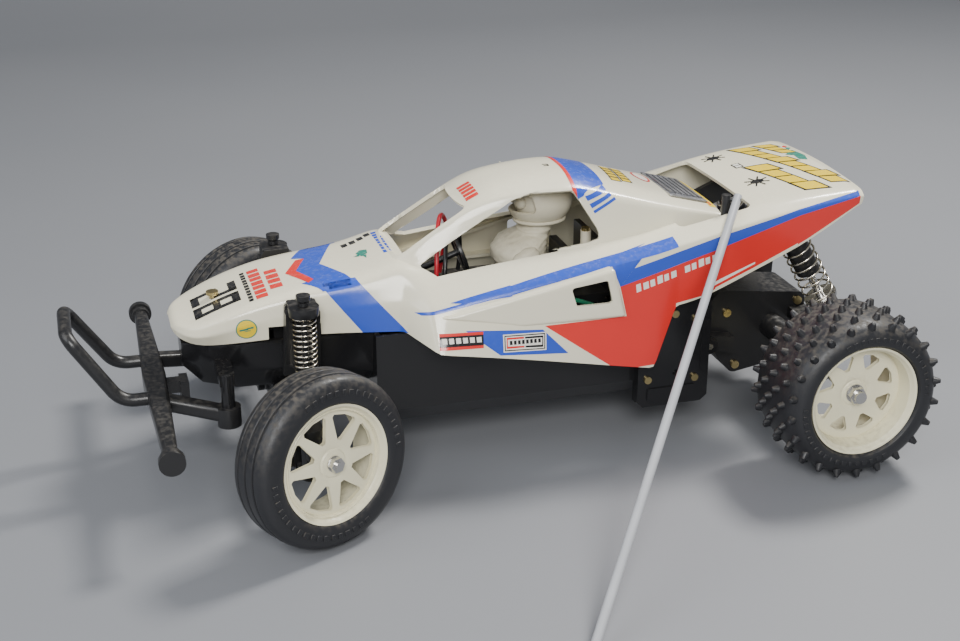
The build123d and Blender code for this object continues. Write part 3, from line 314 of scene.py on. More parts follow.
def sides_of(outline, view):
    """For each side of a convex outline, in millimetres: a point on it and its outward normal."""
    flat = {"side": lambda p: Vector((p[0], 0, p[1])), "top": lambda p: Vector((p[0], p[1], 0)),
            "front": lambda p: Vector((0, p[0], p[1]))}[view]
    along = {"side": Vector((0, 1, 0)), "top": Vector((0, 0, 1)), "front": Vector((1, 0, 0))}[view]
    spots = [flat(p) / 1000 for p in outline]
    middle = sum(spots, Vector()) / len(spots)
    for start, end in zip(spots, spots[1:] + spots[:1]):
        if (end - start).length < 1e-7:
            continue
        outward = (end - start).cross(along).normalized()
        if outward.dot(start - middle) < 0:
            outward.negate()
        yield start, outward


def open_up(skin, outline, view, chosen):
    """Cuts a convex outline through the chosen faces of a skin and drops what lies inside it."""
    cuts = list(sides_of(outline, view))

    def faces_within(reach):
        return [f for f in skin.faces if chosen(f.calc_center_median())
                and all((f.calc_center_median() - p).dot(n) < reach for p, n in cuts)]

    for spot, outward in cuts:
        near = faces_within(0.004)
        geom = near + list({e for f in near for e in f.edges}) + list({v for f in near for v in f.verts})
        bmesh.ops.bisect_plane(skin, geom=geom, dist=1e-6, plane_co=spot, plane_no=outward)
    bmesh.ops.delete(skin, geom=faces_within(1e-6), context="FACES")


pod_end = {1: 0.3, 2: 0.6, 3: 0.8}
hull = skin_grid(hull_rows, {1: 0.35, 2: 0.72},
                 {7: pod_end, 8: pod_end, 11: {3: 0.7}, 12: {3: 0.7}, 16: {1: 0.5, 2: 0.5, 3: 0.6}}, 3)
cabin_rows = [               # x, crown z, roof edge (y, z), shoulder (y, z), foot (y, z), in mm
    (76.0, 103.0, (10, 102.6), (19, 101.6), (25.0, 98)),
    (71.0, 106.0, (12, 105.6), (22, 104.2), (27.5, 99)),
    (39.0, 126.2, (13, 125.8), (21.5, 123.8), (29.5, 98)),
    (25.0, 133.2, (14, 132.6), (24.5, 129.0), (31.5, 98)),
    (0.0, 136.6, (15, 136.0), (26.5, 130.6), (32.5, 98)),
    (-14.0, 136.4, (15, 135.6), (27, 130.0), (33.5, 99)),
    (-32.0, 131.6, (16, 130.9), (28.5, 125.6), (34.5, 101)),
    (-62.0, 121.6, (21, 121.2), (30.5, 117.4), (32.0, 106)),
    (-88.0, 114.2, (22, 114.1), (30.0, 112.2), (31.4, 107)),
]
cabin = skin_grid(cabin_rows, {1: 0.1, 2: 0.45}, {0: {}, 3: {1: 0.15, 2: 0.15}, 5: {1: 0.4, 2: 0.4}}, 3)

# openings: cockpit well, engine bay, tower notch, side windows, windscreen, pod vents
for start, end, w0, w1 in ((-63.5, -3, 31.0, 31.8), (-3, 57, 32.6, 33.6), (57, 64, 33.6, 26.6),
                           (64, 69, 26.6, 22.5)):
    open_up(hull, [(start, -w0), (end, -w1), (end, w1), (start, w0)], "top", lambda p: p.z > 0.09)
open_up(hull, rounded([(-63, -37.5), (-99, -40.5), (-99, 40.5), (-63, 37.5)], 3), "top", lambda p: p.z > 0.10)
for side in (1, -1):
    open_up(hull, [(112.5, 60), (136.5, 60), (136.5, 78.5), (112.5, 78.5)], "side",
            lambda p: p.y * side > 0.02 and p.z < 0.09)
    open_up(hull, rounded([(-24, 79.5), (-3, 79.5), (-3, 93), (-22, 93)], 1.5), "side",
            lambda p: p.y * side > 0.04 and p.z < 0.095)
    open_up(cabin, rounded([(64.5, 99.6), (57, 95.5), (-18.8, 105.2), (-23.8, 106.8), (-22.9, 111.1),
                            (-11.6, 129.8), (9, 129.9), (18, 127.2)], 1.2), "side", lambda p: p.y * side > 0.012)
    open_up(cabin, [(62, 99), (62, 88), (-3, 88), (-3, 103)], "side", lambda p: p.y * side > 0.012)
open_up(cabin, rounded([(-20.8, 103.4), (20.8, 103.4), (19.3, 124.0), (-19.3, 124.0)], 2.5), "front",
        lambda p: p.x > 0.030)


def finished_shell(skin, name, thickness, finish, edge):
    """The skin gets its wall inwards and small round edges, and becomes a piece."""
    bmesh.ops.remove_doubles(skin, verts=skin.verts, dist=0.0003)
    mesh = bpy.data.meshes.new(name)
    skin.to_mesh(mesh)
    mesh.materials.append(finish)
    for face in mesh.polygons:
        face.use_smooth = True
    piece = bpy.data.objects.new(name, mesh)
    bpy.context.scene.collection.objects.link(piece)
    thick = piece.modifiers.new("wall", "SOLIDIFY")
    thick.thickness, thick.offset = thickness, -1
    rim = piece.modifiers.new("rim", "BEVEL")
    rim.width, rim.segments, rim.limit_method, rim.angle_limit = edge, 2, "ANGLE", radians(55)
    rim.use_clamp_overlap = True
    even = piece.modifiers.new("even", "WEIGHTED_NORMAL")
    even.keep_sharp = True
    return piece


hull_skin, cabin_skin = hull.copy(), cabin.copy()
hull_piece = finished_shell(hull, "body_hull", wall, body_cream, 0.0004)
cabin_piece = finished_shell(cabin, "body_cabin", wall, body_cream, 0.0005)
for piece in (hull_piece, cabin_piece):
    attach(piece, "chassis")
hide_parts("body_shell")


# ------------------------------------------------------------------ air boxes on the pods
# Each side pod carries a raised wedge with an open rear vent; they are part of the cream
# moulding, 1.6 mm thick with rounded edges.
for side in (1, -1):
    box_skin = bmesh.new()
    face_corners = [(60, 50.0, 81.0), (-23.5, 55.0, 99.0), (-30.2, 55.2, 74.0), (21, 53.2, 73.8)]
    spots = [Vector((x, side * y, z)) / 1000 for x, y, z in face_corners]
    outer = box_skin.faces.new([box_skin.verts.new(spot) for spot in spots])
    grown = bmesh.ops.extrude_face_region(box_skin, geom=[outer])["geom"]
    bmesh.ops.translate(box_skin, verts=[g for g in grown if isinstance(g, bmesh.types.BMVert)],
                        vec=(0, -side * 0.009, 0))
    bmesh.ops.recalc_face_normals(box_skin, faces=box_skin.faces)
    front_edges = [e for e in box_skin.edges if sum(v.co.y * side > 0.0499 for v in e.verts) >= 1]
    bmesh.ops.bevel(box_skin, geom=front_edges, offset=0.0019, offset_type="OFFSET", segments=4, profile=0.5,
                    affect="EDGES", material=-1)
    back = [f for f in box_skin.faces if f.normal.y * side < -0.9]
    bmesh.ops.delete(box_skin, geom=back, context="FACES")
    open_up(box_skin, rounded([(-22.8, 82), (-5.2, 81.8), (-2.4, 91), (-20, 93.6)], 1.3), "side",
            lambda p: True)
    air_box = finished_shell(box_skin, f"air_box_{'left' if side > 0 else 'right'}", 0.0016, body_cream, 0.0003)
    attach(air_box, "chassis")

# ------------------------------------------------------------------ stickers
# Thin vinyl stickers in blue, red, yellow, black, white and green lie on the cream moulding.
# Each is cut from the body's own outer skin, so it follows every curve, a tenth of a millimetre up.
vinyl = {}
for colour_name, colour in (("blue", (0.028, 0.082, 0.52)), ("red", (0.70, 0.030, 0.024)),
                            ("yellow", (0.85, 0.60, 0.02)), ("black", (0.010, 0.010, 0.011)),
                            ("white", (0.82, 0.80, 0.72)), ("green", (0.03, 0.23, 0.17))):
    vinyl[colour_name] = moulding_finish(f"vinyl_{colour_name}", colour, 0.20, dust_colour=(0.5, 0.46, 0.36),
                                         dust=0.10, mottle=0.06, grain=300, relief=0.00002, coat=0.25)
sticker_sheets = {name: bmesh.new() for name in vinyl}


def sticker(colour_name, outline, view="side", sides=(1, -1), skin=None, level=1):
    """Cuts a convex outline, in millimetres, out of a copy of the body's skin and lifts it a little."""
    for side in sides:
        patch = (skin or hull_skin).copy()
        cuts = list(sides_of(outline, view))
        if view == "side":
            out = [f for f in patch.faces if f.normal.y * side < 0.05 or f.calc_center_median().y * side < 0]
        else:
            out = [f for f in patch.faces if f.normal.z < 0.15]
        far = [f for f in patch.faces if any((f.calc_center_median() - p).dot(n) > 0.006 for p, n in cuts)]
        bmesh.ops.delete(patch, geom=list(set(out + far)), context="FACES")
        for spot, outward in cuts:
            geom = list(patch.verts) + list(patch.edges) + list(patch.faces)
            bmesh.ops.bisect_plane(patch, geom=geom, dist=1e-7, plane_co=spot, plane_no=outward,
                                   clear_outer=True)
        for vert in patch.verts:
            vert.co += vert.normal * (0.00006 + 0.00005 * level)
        scrap = bpy.data.meshes.new("scrap")
        patch.to_mesh(scrap)
        patch.free()
        sticker_sheets[colour_name].from_mesh(scrap)
        bpy.data.meshes.remove(scrap)


# blue and red chevron band over the nose, and its tail down each flank
for outline in ([(118, -14), (112, -10.5), (99.9, -15.9), (94.6, -28.6), (110, -28.4)],
                [(112, -10.5), (118.4, 3.5), (106.6, 0.8), (99.9, -15.9)],
                [(118.4, 3.5), (112.5, 17.5), (97.9, 19.4), (106.6, 0.8)],
                [(112.5, 17.5), (118.6, 19.5), (110.4, 28.6), (94.9, 28.9), (97.9, 19.4)]):
    sticker("blue", outline, "top", (1,))
sticker("red", [(116.3, -10.5), (112, -10.5), (118.4, 3.5), (123.6, 3.5)], "top", (1,), level=2)
sticker("red", [(123.6, 3.5), (118.4, 3.5), (112.5, 17.5), (115.4, 20.3)], "top", (1,), level=2)
sticker("blue", [(110.5, 94.6), (94.3, 96.6), (72.5, 71.5), (91.8, 70.5)])

# race number 28 from straight strokes, read from the front
segments = {"top": (0, 1, 0.83, 1), "middle": (0, 1, 0.42, 0.58), "bottom": (0, 1, 0, 0.17),
            "upper right": (0.72, 1, 0.5, 1), "lower left": (0, 0.28, 0, 0.5), "upper left": (0, 0.28, 0.5, 1),
            "lower right": (0.72, 1, 0, 0.5)}
digit_foot_x, digit_wide, digit_tall = 168, 11.5, 21.5
for start, strokes in ((-8.5, ("top", "middle", "bottom", "upper right", "lower left")),
                       (5.5, tuple(segments))):
    for stroke in strokes:
        u0, u1, v0, v1 = segments[stroke]
        y0, y1 = start + digit_wide * u0, start + digit_wide * u1
        x0, x1 = digit_foot_x - digit_tall * v0, digit_foot_x - digit_tall * v1
        sticker("black", [(x0, y0), (x0, y1), (x1, y1), (x1, y0)], "top", (1,))
# rows of plain blocks where names would stand
for colour_name, x0, x1, y0, y1, count in (
        ("black", 143.4, 141.3, -14, 23.5, 11), ("red", 140.0, 134.6, -13.5, 24, 7),
        ("red", 132.6, 126.8, -6.5, 18, 4), ("blue", 77.3, 73.6, -20, 12, 8)):
    step = (y1 - y0) / count
    for k in range(count):
        a, b = y0 + step * k, y0 + step * (k + 0.74 + 0.08 * (k % 2))
        sticker(colour_name, [(x0, a), (x0, b), (x1, b), (x1, a)], "top", (1,))
for x, y in ((91.5, -14.6), (87.4, -15.2), (83.3, -16.6), (79.4, -18.6)):
    sticker("black", [(x - 1.5, y - 2.4), (x + 1.5, y - 2.2), (x + 1.3, y + 2.4), (x - 1.5, y + 2.2)], "top",
            (1,))
for outline in ([(89, 1), (86.5, -1.5), (83.5, 0.5), (84, 5), (87, 6.5)], [(86.5, 6), (85.5, 10), (84.7, 6)],
                [(90.5, 4), (88, 5.5), (87.5, 2.5)]):
    sticker("green", outline, "top", (1,))
# yellow disc with a green ring and slashes on each side of the nose
ring = [(cos(2 * pi * k / 28), sin(2 * pi * k / 28)) for k in range(28)]
sticker("green", [(146.4 + 4.9 * a, 78.2 + 4.9 * b) for a, b in ring])
sticker("yellow", [(146.4 + 4.4 * a, 78.2 + 4.4 * b) for a, b in ring], level=2)
for x0, x1, z0, z1 in ((149.6, 145.6, 77.4, 78.9), (146.4, 143.2, 78.2, 79.6), (147.4, 144.6, 76.9, 77.9)):
    sticker("green", [(x0, z0), (x1, z0 + 0.5), (x1, z1), (x0, z1 - 0.6)], level=3)

# long blue wedge under the side crease, then a stripe that narrows to the tail
for side in (1, -1):
    for outline in ([(70.3, 40.2), (54, 44.9), (25, 45.3), (25, 48.9), (62, 45.9), (68, 44.5)],
                    [(25, 45.3), (-5, 44.3), (-57, 41.9), (-57, 50.9), (-25, 50.2), (25, 48.7)]):
        sticker("blue", [(x, side * y) for x, y in outline], "top", (1,), level=2)
sticker("blue", [(70, 82.2), (-55.3, 107.6), (-40.9, 104), (-23.6, 98.4), (2, 93.6), (21.5, 88.7), (40.8, 83.8),
                 (65.2, 80.7)])
sticker("blue", [(-23.5, 98.8), (-40.9, 104.1), (-34.7, 96.8), (-27.6, 88.4)])
sticker("blue", [(-27.6, 88.4), (-34.7, 96.8), (-77.1, 108.0), (-77.6, 101.8)])
sticker("blue", [(-77.1, 108.0), (-120, 117.6), (-120.5, 114.7), (-77.6, 101.8)])
sticker("blue", [(-120, 117.6), (-152.6, 123.2), (-152.6, 121.2), (-120.5, 114.7)])
# red rear flank down to a narrow cream lip
for outline in ([(10.2, 73.4), (-56.6, 73.4), (-51.0, 46.4), (-27.0, 46.4)],
                [(-31, 73.4), (-27.6, 88.4), (-57, 96.2), (-57, 73.4)],
                [(-57, 96.2), (-77.6, 101.8), (-77.6, 81.2), (-72, 78.6), (-57, 76.4)],
                [(-77.6, 101.8), (-120.5, 114.7), (-120.5, 99.4), (-97, 89.8), (-77.6, 81.2)],
                [(-120.5, 114.7), (-152.8, 121.2), (-152.8, 117.4), (-126, 102.2), (-120.5, 99.4)]):
    sticker("red", outline)
sticker("white", [(-72, 81.0), (-98, 92.0), (-98, 93.0), (-80, 86.2), (-72, 82.6)], level=2)
for k in range(12):
    x, z = -36.0 - 3.55 * k, 84.6 + 1.0 * k
    tall, wide = 3.4 + 0.5 * (k % 3 == 0), 2.3 + 0.4 * (k % 2)
    if k != 6:
        rise = 0.28 * wide
        sticker("white", [(x, z), (x - wide, z + rise), (x - wide + 0.5, z + rise + tall), (x + 0.5, z + tall)],
                level=2)
# pod label, blue parallelogram and framed panel
sticker("blue", [(48.6, 75.0), (11.3, 71.8), (-1.1, 58.9), (32.9, 62.4)])
sticker("red", [(61.2, 74.8), (40.3, 74.0), (40.8, 66.8), (61.8, 68.0)], level=2)
sticker("black", [(61.2, 73.5), (40.4, 72.7), (40.7, 68.1), (61.7, 69.3)], level=3)
for k in range(6):
    x, z = 60.3 - 3.3 * k, 70.4 - 0.16 * k
    sticker("white", [(x, z), (x - 2.3, z - 0.1), (x - 2.3, z + 2.2), (x, z + 2.3)], level=4)
sticker("white", [(31.0, 71.6), (9.7, 70.6), (10.0, 62.0), (31.3, 63.5)], level=2)
sticker("black", [(30.4, 71.0), (10.3, 70.1), (10.6, 62.6), (30.7, 64.0)], level=3)
sticker("white", [(29.9, 70.5), (10.8, 69.6), (11.1, 63.1), (30.2, 64.5)], level=4)
sticker("red", [(29.4, 70.0), (20.9, 69.6), (20.9, 64.6), (29.7, 65.0)], level=5)
sticker("black", [(20.4, 69.5), (11.3, 69.1), (11.6, 63.7), (20.4, 64.5)], level=5)
sticker("white", [(28.9, 69.1), (11.9, 68.2), (12.1, 64.8), (29.1, 66.0)], level=6)
for k in range(8):
    x, z = 28.0 - 2.0 * k, 66.5 - 0.07 * k
    sticker("black", [(x, z), (x - 1.3, z), (x - 1.3, z + 1.9), (x, z + 1.9)], level=7)

# red blocks on the windscreen header and a small black mark on the roof
for k in range(5):
    y = -3.0 + 3.8 * k
    sticker("red", [(37.6, y), (37.6, y + 2.9), (31.6, y + 3.1), (31.6, y + 0.3)], "top", (1,), cabin_skin)
for outline in ([(-4.4, 1.4), (-7.0, 1.8), (-7.0, 2.6), (-4.4, 2.2)],
                [(-4.4, 3.6), (-7.0, 4.0), (-7.0, 4.8), (-4.4, 4.4)],
                [(-6.4, 2.2), (-7.2, 2.2), (-7.2, 4.4), (-6.4, 4.4)]):
    sticker("black", outline, "top", (1,), cabin_skin)
# roof band: red line, blue band and three bars down each rear pillar
sticker("red", [(-11.6, -28), (-13.6, -28), (-13.6, 28), (-11.6, 28)], "top", (1,), cabin_skin)
sticker("blue", [(-13.6, -27.9), (-16.7, -27.5), (-29.4, -20.2), (-29.4, 20.2), (-16.7, 27.5), (-13.6, 27.9)],
        "top", (1,), cabin_skin)
for outline in ([(-17.4, 126.7), (-18.6, 124.5), (-29.4, 128.0), (-28.4, 129.6)],
                [(-19.4, 123.0), (-20.6, 120.9), (-31.2, 126.0), (-30.2, 127.2)],
                [(-21.1, 119.7), (-21.8, 118.4), (-33.0, 124.1), (-32.2, 125.2)]):
    sticker("blue", outline, "side", (1, -1), cabin_skin)
for x0, y0 in ((-36.5, 13.5), (-43.0, 11.5)):
    for k in range(5):
        x, y = x0 - 0.5 * k, y0 - 5.2 * k
        sticker("black", [(x + 0.5, y + 0.5), (x - 5.3, y + 0.1), (x - 5.3, y - 4.6), (x + 0.5, y - 4.2)], "top",
                (1,), cabin_skin)
        sticker("yellow", [(x - 0.1, y), (x - 4.6, y - 0.4), (x - 4.6, y - 4.0), (x - 0.1, y - 3.6)], "top",
                (1,), cabin_skin, level=2)
sticker("red", [(-60.0 + 4.2 * a, -8 + 9 * b) for a, b in ring], "top", (1,), cabin_skin)
sticker("white", [(-60.0 + 3.0 * a, -8 + 7.6 * b) for a, b in ring], "top", (1,), cabin_skin, level=2)
sticker("yellow", [(-84.4, -24), (-88.2, -24), (-88.2, 24), (-84.4, 24)], "top", (1,), cabin_skin)
sticker("red", [(-85.2, -22), (-86.4, -22), (-86.4, 22), (-85.2, 22)], "top", (1,), cabin_skin, level=2)

# tail deck: three slanted rows of yellow blocks with black edges, two black splashes and small marks
row_slope, slant, border = 0.29, 2.0, 1.24
for x0, y0, count, wide, tall in ((-137.5, -38, 3, 6.2, 8.6), (-124.0, -39, 8, 7.9, 10.0),
                                  (-117.0, -5.5, 4, 9.6, 11.0)):
    for k in range(count):
        y = y0 + (wide + 1.3) * k
        x = x0 - row_slope * (y - y0)
        high = tall * (1.0 if k % 3 == 0 else 0.78)
        outline = [(x, y), (x - row_slope * wide, y + wide), (x - row_slope * wide - high, y + wide + slant),
                   (x - high, y + slant)]
        mid_x, mid_y = sum(p[0] for p in outline) / 4, sum(p[1] for p in outline) / 4
        edge = [(mid_x + (a - mid_x) * border, mid_y + (b - mid_y) * border) for a, b in outline]
        sticker("black", edge, "top", (1,))
        sticker("yellow", outline, "top", (1,), level=2)
for x, y in ((-111.0, -31.0), (-113.5, 15.5)):
    sticker("black", [(x + 3.4 * a, y + 2.4 * b) for a, b in ring], "top", (1,), level=3)
    for k in range(4):
        along, across = Vector((cos(pi * k / 4 + 0.3), sin(pi * k / 4 + 0.3))) * 6.2, 0.4 / 6.2
        sideways = Vector((along.y, -along.x)) * across
        corners = [along * u + sideways * v for u, v in ((1, 1), (1, -1), (-1, -1), (-1, 1))]
        sticker("black", [(x + corner.x, y + corner.y) for corner in corners], "top", (1,), level=4)
sticker("black", [(-113.0, -14.5), (-117.5, -14.5), (-117.5, -7.5), (-113.0, -7.5)], "top", (1,))
sticker("white", [(-113.7, -13.8), (-116.8, -13.8), (-116.8, -11.4), (-113.7, -11.4)], "top", (1,), level=2)
sticker("white", [(-113.7, -10.6), (-116.8, -10.6), (-116.8, -8.2), (-113.7, -8.2)], "top", (1,), level=2)
for outline in ([(-150.5, -20), (-147.5, -17), (-146.0, -3), (-149.5, 0), (-152.0, -8)],
                [(-147.5, -17), (-143.5, -13), (-146.5, -10)],
                [(-152.5, -24), (-150.0, -26), (-148.5, -20)]):
    sticker("green", outline, "top", (1,))
sticker("red", [(-150.0, -25.5), (-152.0, -27.5), (-151.0, -30), (-149.0, -28)], "top", (1,))

for colour_name, patches in sticker_sheets.items():
    mesh = bpy.data.meshes.new(f"stickers_{colour_name}")
    patches.to_mesh(mesh)
    patches.free()
    mesh.materials.append(vinyl[colour_name])
    for face in mesh.polygons:
        face.use_smooth = True
    stuck = bpy.data.objects.new(f"stickers_{colour_name}", mesh)
    bpy.context.scene.collection.objects.link(stuck)
    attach(stuck, "chassis")

# ------------------------------------------------------------------ louvre on the engine cover
# A bright pressed-metal louvre is stuck to the cover, with slats across it.
louvre_metal = moulding_finish("pressed_bright_metal", (0.50, 0.50, 0.52), 0.28, dust=0.15, metal=1.0,
                               mottle=0.35)
dress(["louvre_panel"], louvre_metal, 0.0002)

# ------------------------------------------------------------------ driver
# A half-length figure moulded in the body's cream, given a darker cream than the body as painted shade inside
# the cockpit:
# helmet with an eyeport and goggles, and a padded suit with creases. It is screwed to the cockpit tray.
# darker cream base colour: painted shade of the cockpit under the shell; the upper-face dust is real dust
figure_cream = moulding_finish("figure_cream", (0.62, 0.575, 0.44), 0.38, dust_colour=(0.30, 0.24, 0.15),
                               dust=0.35, mottle=0.10, grain=1400, relief=0.00005)
head_place = Vector((-0.004, 0, 0.1178))


def ball(radii, place, u=32, v=20, turn=0.0):
    """A round form as a bmesh, stretched to three radii."""
    form = bmesh.new()
    bmesh.ops.create_uvsphere(form, u_segments=u, v_segments=v, radius=1.0)
    bmesh.ops.scale(form, verts=form.verts, vec=radii)
    bmesh.ops.rotate(form, verts=form.verts, cent=(0, 0, 0), matrix=Matrix.Rotation(turn, 3, "Y"))
    bmesh.ops.translate(form, verts=form.verts, vec=place)
    return form


def piece_from(form, name, finish, body, slot, *stands_for, smooth=True):
    """A bmesh becomes a smooth piece that rides on a body."""
    mesh = bpy.data.meshes.new(name)
    form.to_mesh(mesh)
    form.free()
    mesh.materials.append(finish)
    for face in mesh.polygons:
        face.use_smooth = smooth
    made = bpy.data.objects.new(name, mesh)
    bpy.context.scene.collection.objects.link(made)
    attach(made, body)
    if stands_for:
        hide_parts(*stands_for)
    return made


helmet = ball((0.0165, 0.0132, 0.0132), head_place, 48, 32)
open_up(helmet, [(-40, 90), (40, 90), (40, 107.6), (-40, 107.6)], "side", lambda p: True)
for side in (1, -1):
    open_up(helmet, rounded([(1.2, 114.6), (18, 113.2), (18, 122.4), (3.4, 123.2)], 2.2), "side",
            lambda p: p.y * side > 0)
helmet_piece = finished_shell(helmet, "driver_helmet_shell", 0.0014, figure_cream, 0.0003)
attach(helmet_piece, "chassis")
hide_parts("driver_helmet")
brow = bmesh.new()
bmesh.ops.create_circle(brow, segments=10, radius=0.0009)
bmesh.ops.translate(brow, verts=brow.verts, vec=(0.0126, 0, 0))
bmesh.ops.rotate(brow, verts=brow.verts, cent=(0.0126, 0, 0), matrix=Matrix.Rotation(pi / 2, 3, "X"))
bmesh.ops.spin(brow, geom=brow.verts[:] + brow.edges[:], cent=(0, 0, 0), axis=(0, 0, 1), angle=2 * pi, steps=48,
               use_merge=True)
bmesh.ops.recalc_face_normals(brow, faces=brow.faces)
bmesh.ops.scale(brow, verts=brow.verts, vec=(1.0, 0.82, 1.0))
bmesh.ops.translate(brow, verts=brow.verts, vec=(-0.004, 0, 0.1085))
piece_from(brow, "helmet_lower_rim", figure_cream, "chassis", "figure_cream")
piece_from(ball((0.0128, 0.0104, 0.0108), head_place), "driver_head", figure_cream, "chassis", "figure_cream")
for side in (1, -1):
    goggle = ball((0.0030, 0.0036, 0.0030), (0.0072, side * 0.0047, 0.1186), 20, 12)
    piece_from(goggle, f"goggle_{'left' if side > 0 else 'right'}", figure_cream, "chassis", "figure_cream")

torso = bmesh.new()
levels_of_suit = (          # height, centre x, half depth, half width, in mm
    (76.2, 2.0, 8.6, 12.2), (80.0, 3.0, 9.8, 14.2), (85.0, 5.0, 12.0, 16.2), (90.0, 6.5, 13.4, 17.2),
    (94.5, 6.6, 13.6, 17.0), (98.5, 4.6, 12.0, 15.6), (101.2, 1.6, 9.6, 12.6), (103.0, -0.8, 8.2, 9.8),
    (104.4, -1.2, 8.6, 10.0), (106.0, -2.0, 7.6, 8.6), (109.5, -3.0, 6.2, 7.0))
bmesh.ops.create_circle(torso, segments=40, radius=1.0, cap_ends=True)
loop = list(torso.edges)
for index, (z, x, rx, ry) in enumerate(levels_of_suit):
    if index:
        grown = bmesh.ops.extrude_edge_only(torso, edges=loop)["geom"]
        loop = [g for g in grown if isinstance(g, bmesh.types.BMEdge)]
        ring_verts = [g for g in grown if isinstance(g, bmesh.types.BMVert)]
        last = levels_of_suit[index - 1]
    else:
        ring_verts, last = list(torso.verts), (0, 0, 1000.0, 1000.0)
    _, last_x, last_rx, last_ry = last
    for vert in ring_verts:
        unit_x, unit_y = (vert.co.x * 1000 - last_x) / last_rx, vert.co.y * 1000 / last_ry
        vert.co = Vector((unit_x * rx + x, unit_y * ry, z)) / 1000
bmesh.ops.subdivide_edges(torso, edges=torso.edges, cuts=2, use_grid_fill=True, smooth=0.0)
for vert in torso.verts:
    around = Vector((vert.co.x - 0.003, vert.co.y, 0))
    if around.length > 0.002 and 0.078 < vert.co.z < 0.1025:
        wave = sin(vert.co.z * 2300 + 6 * vert.co.x / 0.01 + 2.5 * sin(vert.co.y * 420)) * 0.00042
        vert.co += around.normalized() * wave
bmesh.ops.recalc_face_normals(torso, faces=torso.faces)
piece_from(torso, "driver_suit", figure_cream, "chassis", "figure_cream", "driver_torso")
for side in (1, -1):
    arm = ball((0.0066, 0.0052, 0.0098), (0.0085, side * 0.0155, 0.0905), 28, 18, radians(-40))
    for vert in arm.verts:
        vert.co += vert.normal * (sin(vert.co.z * 2600 + vert.co.x * 900) * 0.00025)
    piece_from(arm, f"driver_sleeve_{'left' if side > 0 else 'right'}", figure_cream, "chassis", "figure_cream")
# the body post gets the same darker cream: painted shade under the shell
dress(["body_post"], figure_cream, 0.0003)

# ------------------------------------------------------------------ leads in the cockpit and pod
# Vinyl-covered copper leads, 2.2 mm thick: red and black from the battery, green from the receiver.
for lead, colour in (("battery_lead_red", (0.50, 0.015, 0.03)), ("battery_lead_black", (0.010, 0.010, 0.011)),
                     ("receiver_lead", (0.012, 0.20, 0.10))):
    dress([lead], moulding_finish(f"vinyl_on_{lead}", colour, 0.30, dust=0.10, grain=900))

# ------------------------------------------------------------------ wheels
# Eight-spoke rims moulded in cream nylon with dirt on their upper faces. Black rubber tyres: ribbed in
# front, with rows of tapered pins at the rear, and small raised bars round their walls.
rim_cream = moulding_finish("rim_cream_nylon", (0.78, 0.735, 0.53), 0.30, dust_colour=(0.24, 0.19, 0.10),
                            dust=0.30, mottle=0.07, grain=700)
rubber = moulding_finish("dusty_rubber", (0.016, 0.0165, 0.019), 0.42, dust_colour=(0.17, 0.145, 0.11),
                         dust=0.50, mottle=0.25, grain=1300, relief=0.00010)


def turned_form(profile, steps=96):
    """A closed profile of (radius, along) in millimetres is spun round the Y axis."""
    form = bmesh.new()
    verts = [form.verts.new((r / 1000, a / 1000, 0)) for r, a in profile]
    edges = [form.edges.new((one, two)) for one, two in zip(verts, verts[1:] + verts[:1])]
    bmesh.ops.spin(form, geom=verts + edges, cent=(0, 0, 0), axis=(0, 1, 0), angle=2 * pi, steps=steps,
                   use_merge=True)
    bmesh.ops.remove_doubles(form, verts=form.verts, dist=1e-6)
    bmesh.ops.recalc_face_normals(form, faces=form.faces)
    return form


def put_on_axle(form, middle, outward):
    """Turns a form made round the Y axis so that +Y points out along its axle, and moves it there."""
    if outward.y > 0:
        turn = Vector((0, 1, 0)).rotation_difference(outward).to_matrix()
    else:
        mirrored = Vector((-outward.x, -outward.y, outward.z))
        turn = Matrix.Rotation(pi, 3, "Z") @ Vector((0, 1, 0)).rotation_difference(mirrored).to_matrix()
    bmesh.ops.rotate(form, verts=form.verts, cent=(0, 0, 0), matrix=turn)
    bmesh.ops.translate(form, verts=form.verts, vec=middle)


def join_forms(forms):
    """Several bmeshes become one."""
    whole = bmesh.new()
    for form in forms:
        scrap = bpy.data.meshes.new("scrap")
        form.to_mesh(scrap)
        form.free()
        whole.from_mesh(scrap)
        bpy.data.meshes.remove(scrap)
    return whole


def wall_bars(count, radius, along, size):
    """Short raised bars on a tyre's wall, in two groups."""
    bars = []
    for k in range(count):
        angle = 2 * pi * k / count
        if (k // (count // 6)) % 3 == 2:
            continue
        bar = bmesh.new()
        bmesh.ops.create_cube(bar, size=1.0)
        wide = size[0] * (0.75 + 0.35 * (k % 3) / 2)
        bmesh.ops.scale(bar, verts=bar.verts, vec=(size[1] / 1000, size[2] / 1000, wide / 1000))
        bmesh.ops.translate(bar, verts=bar.verts, vec=(radius / 1000, along / 1000, 0))
        bmesh.ops.rotate(bar, verts=bar.verts, cent=(0, 0, 0), matrix=Matrix.Rotation(angle, 3, "Y"))
        bars.append(bar)
    return bars


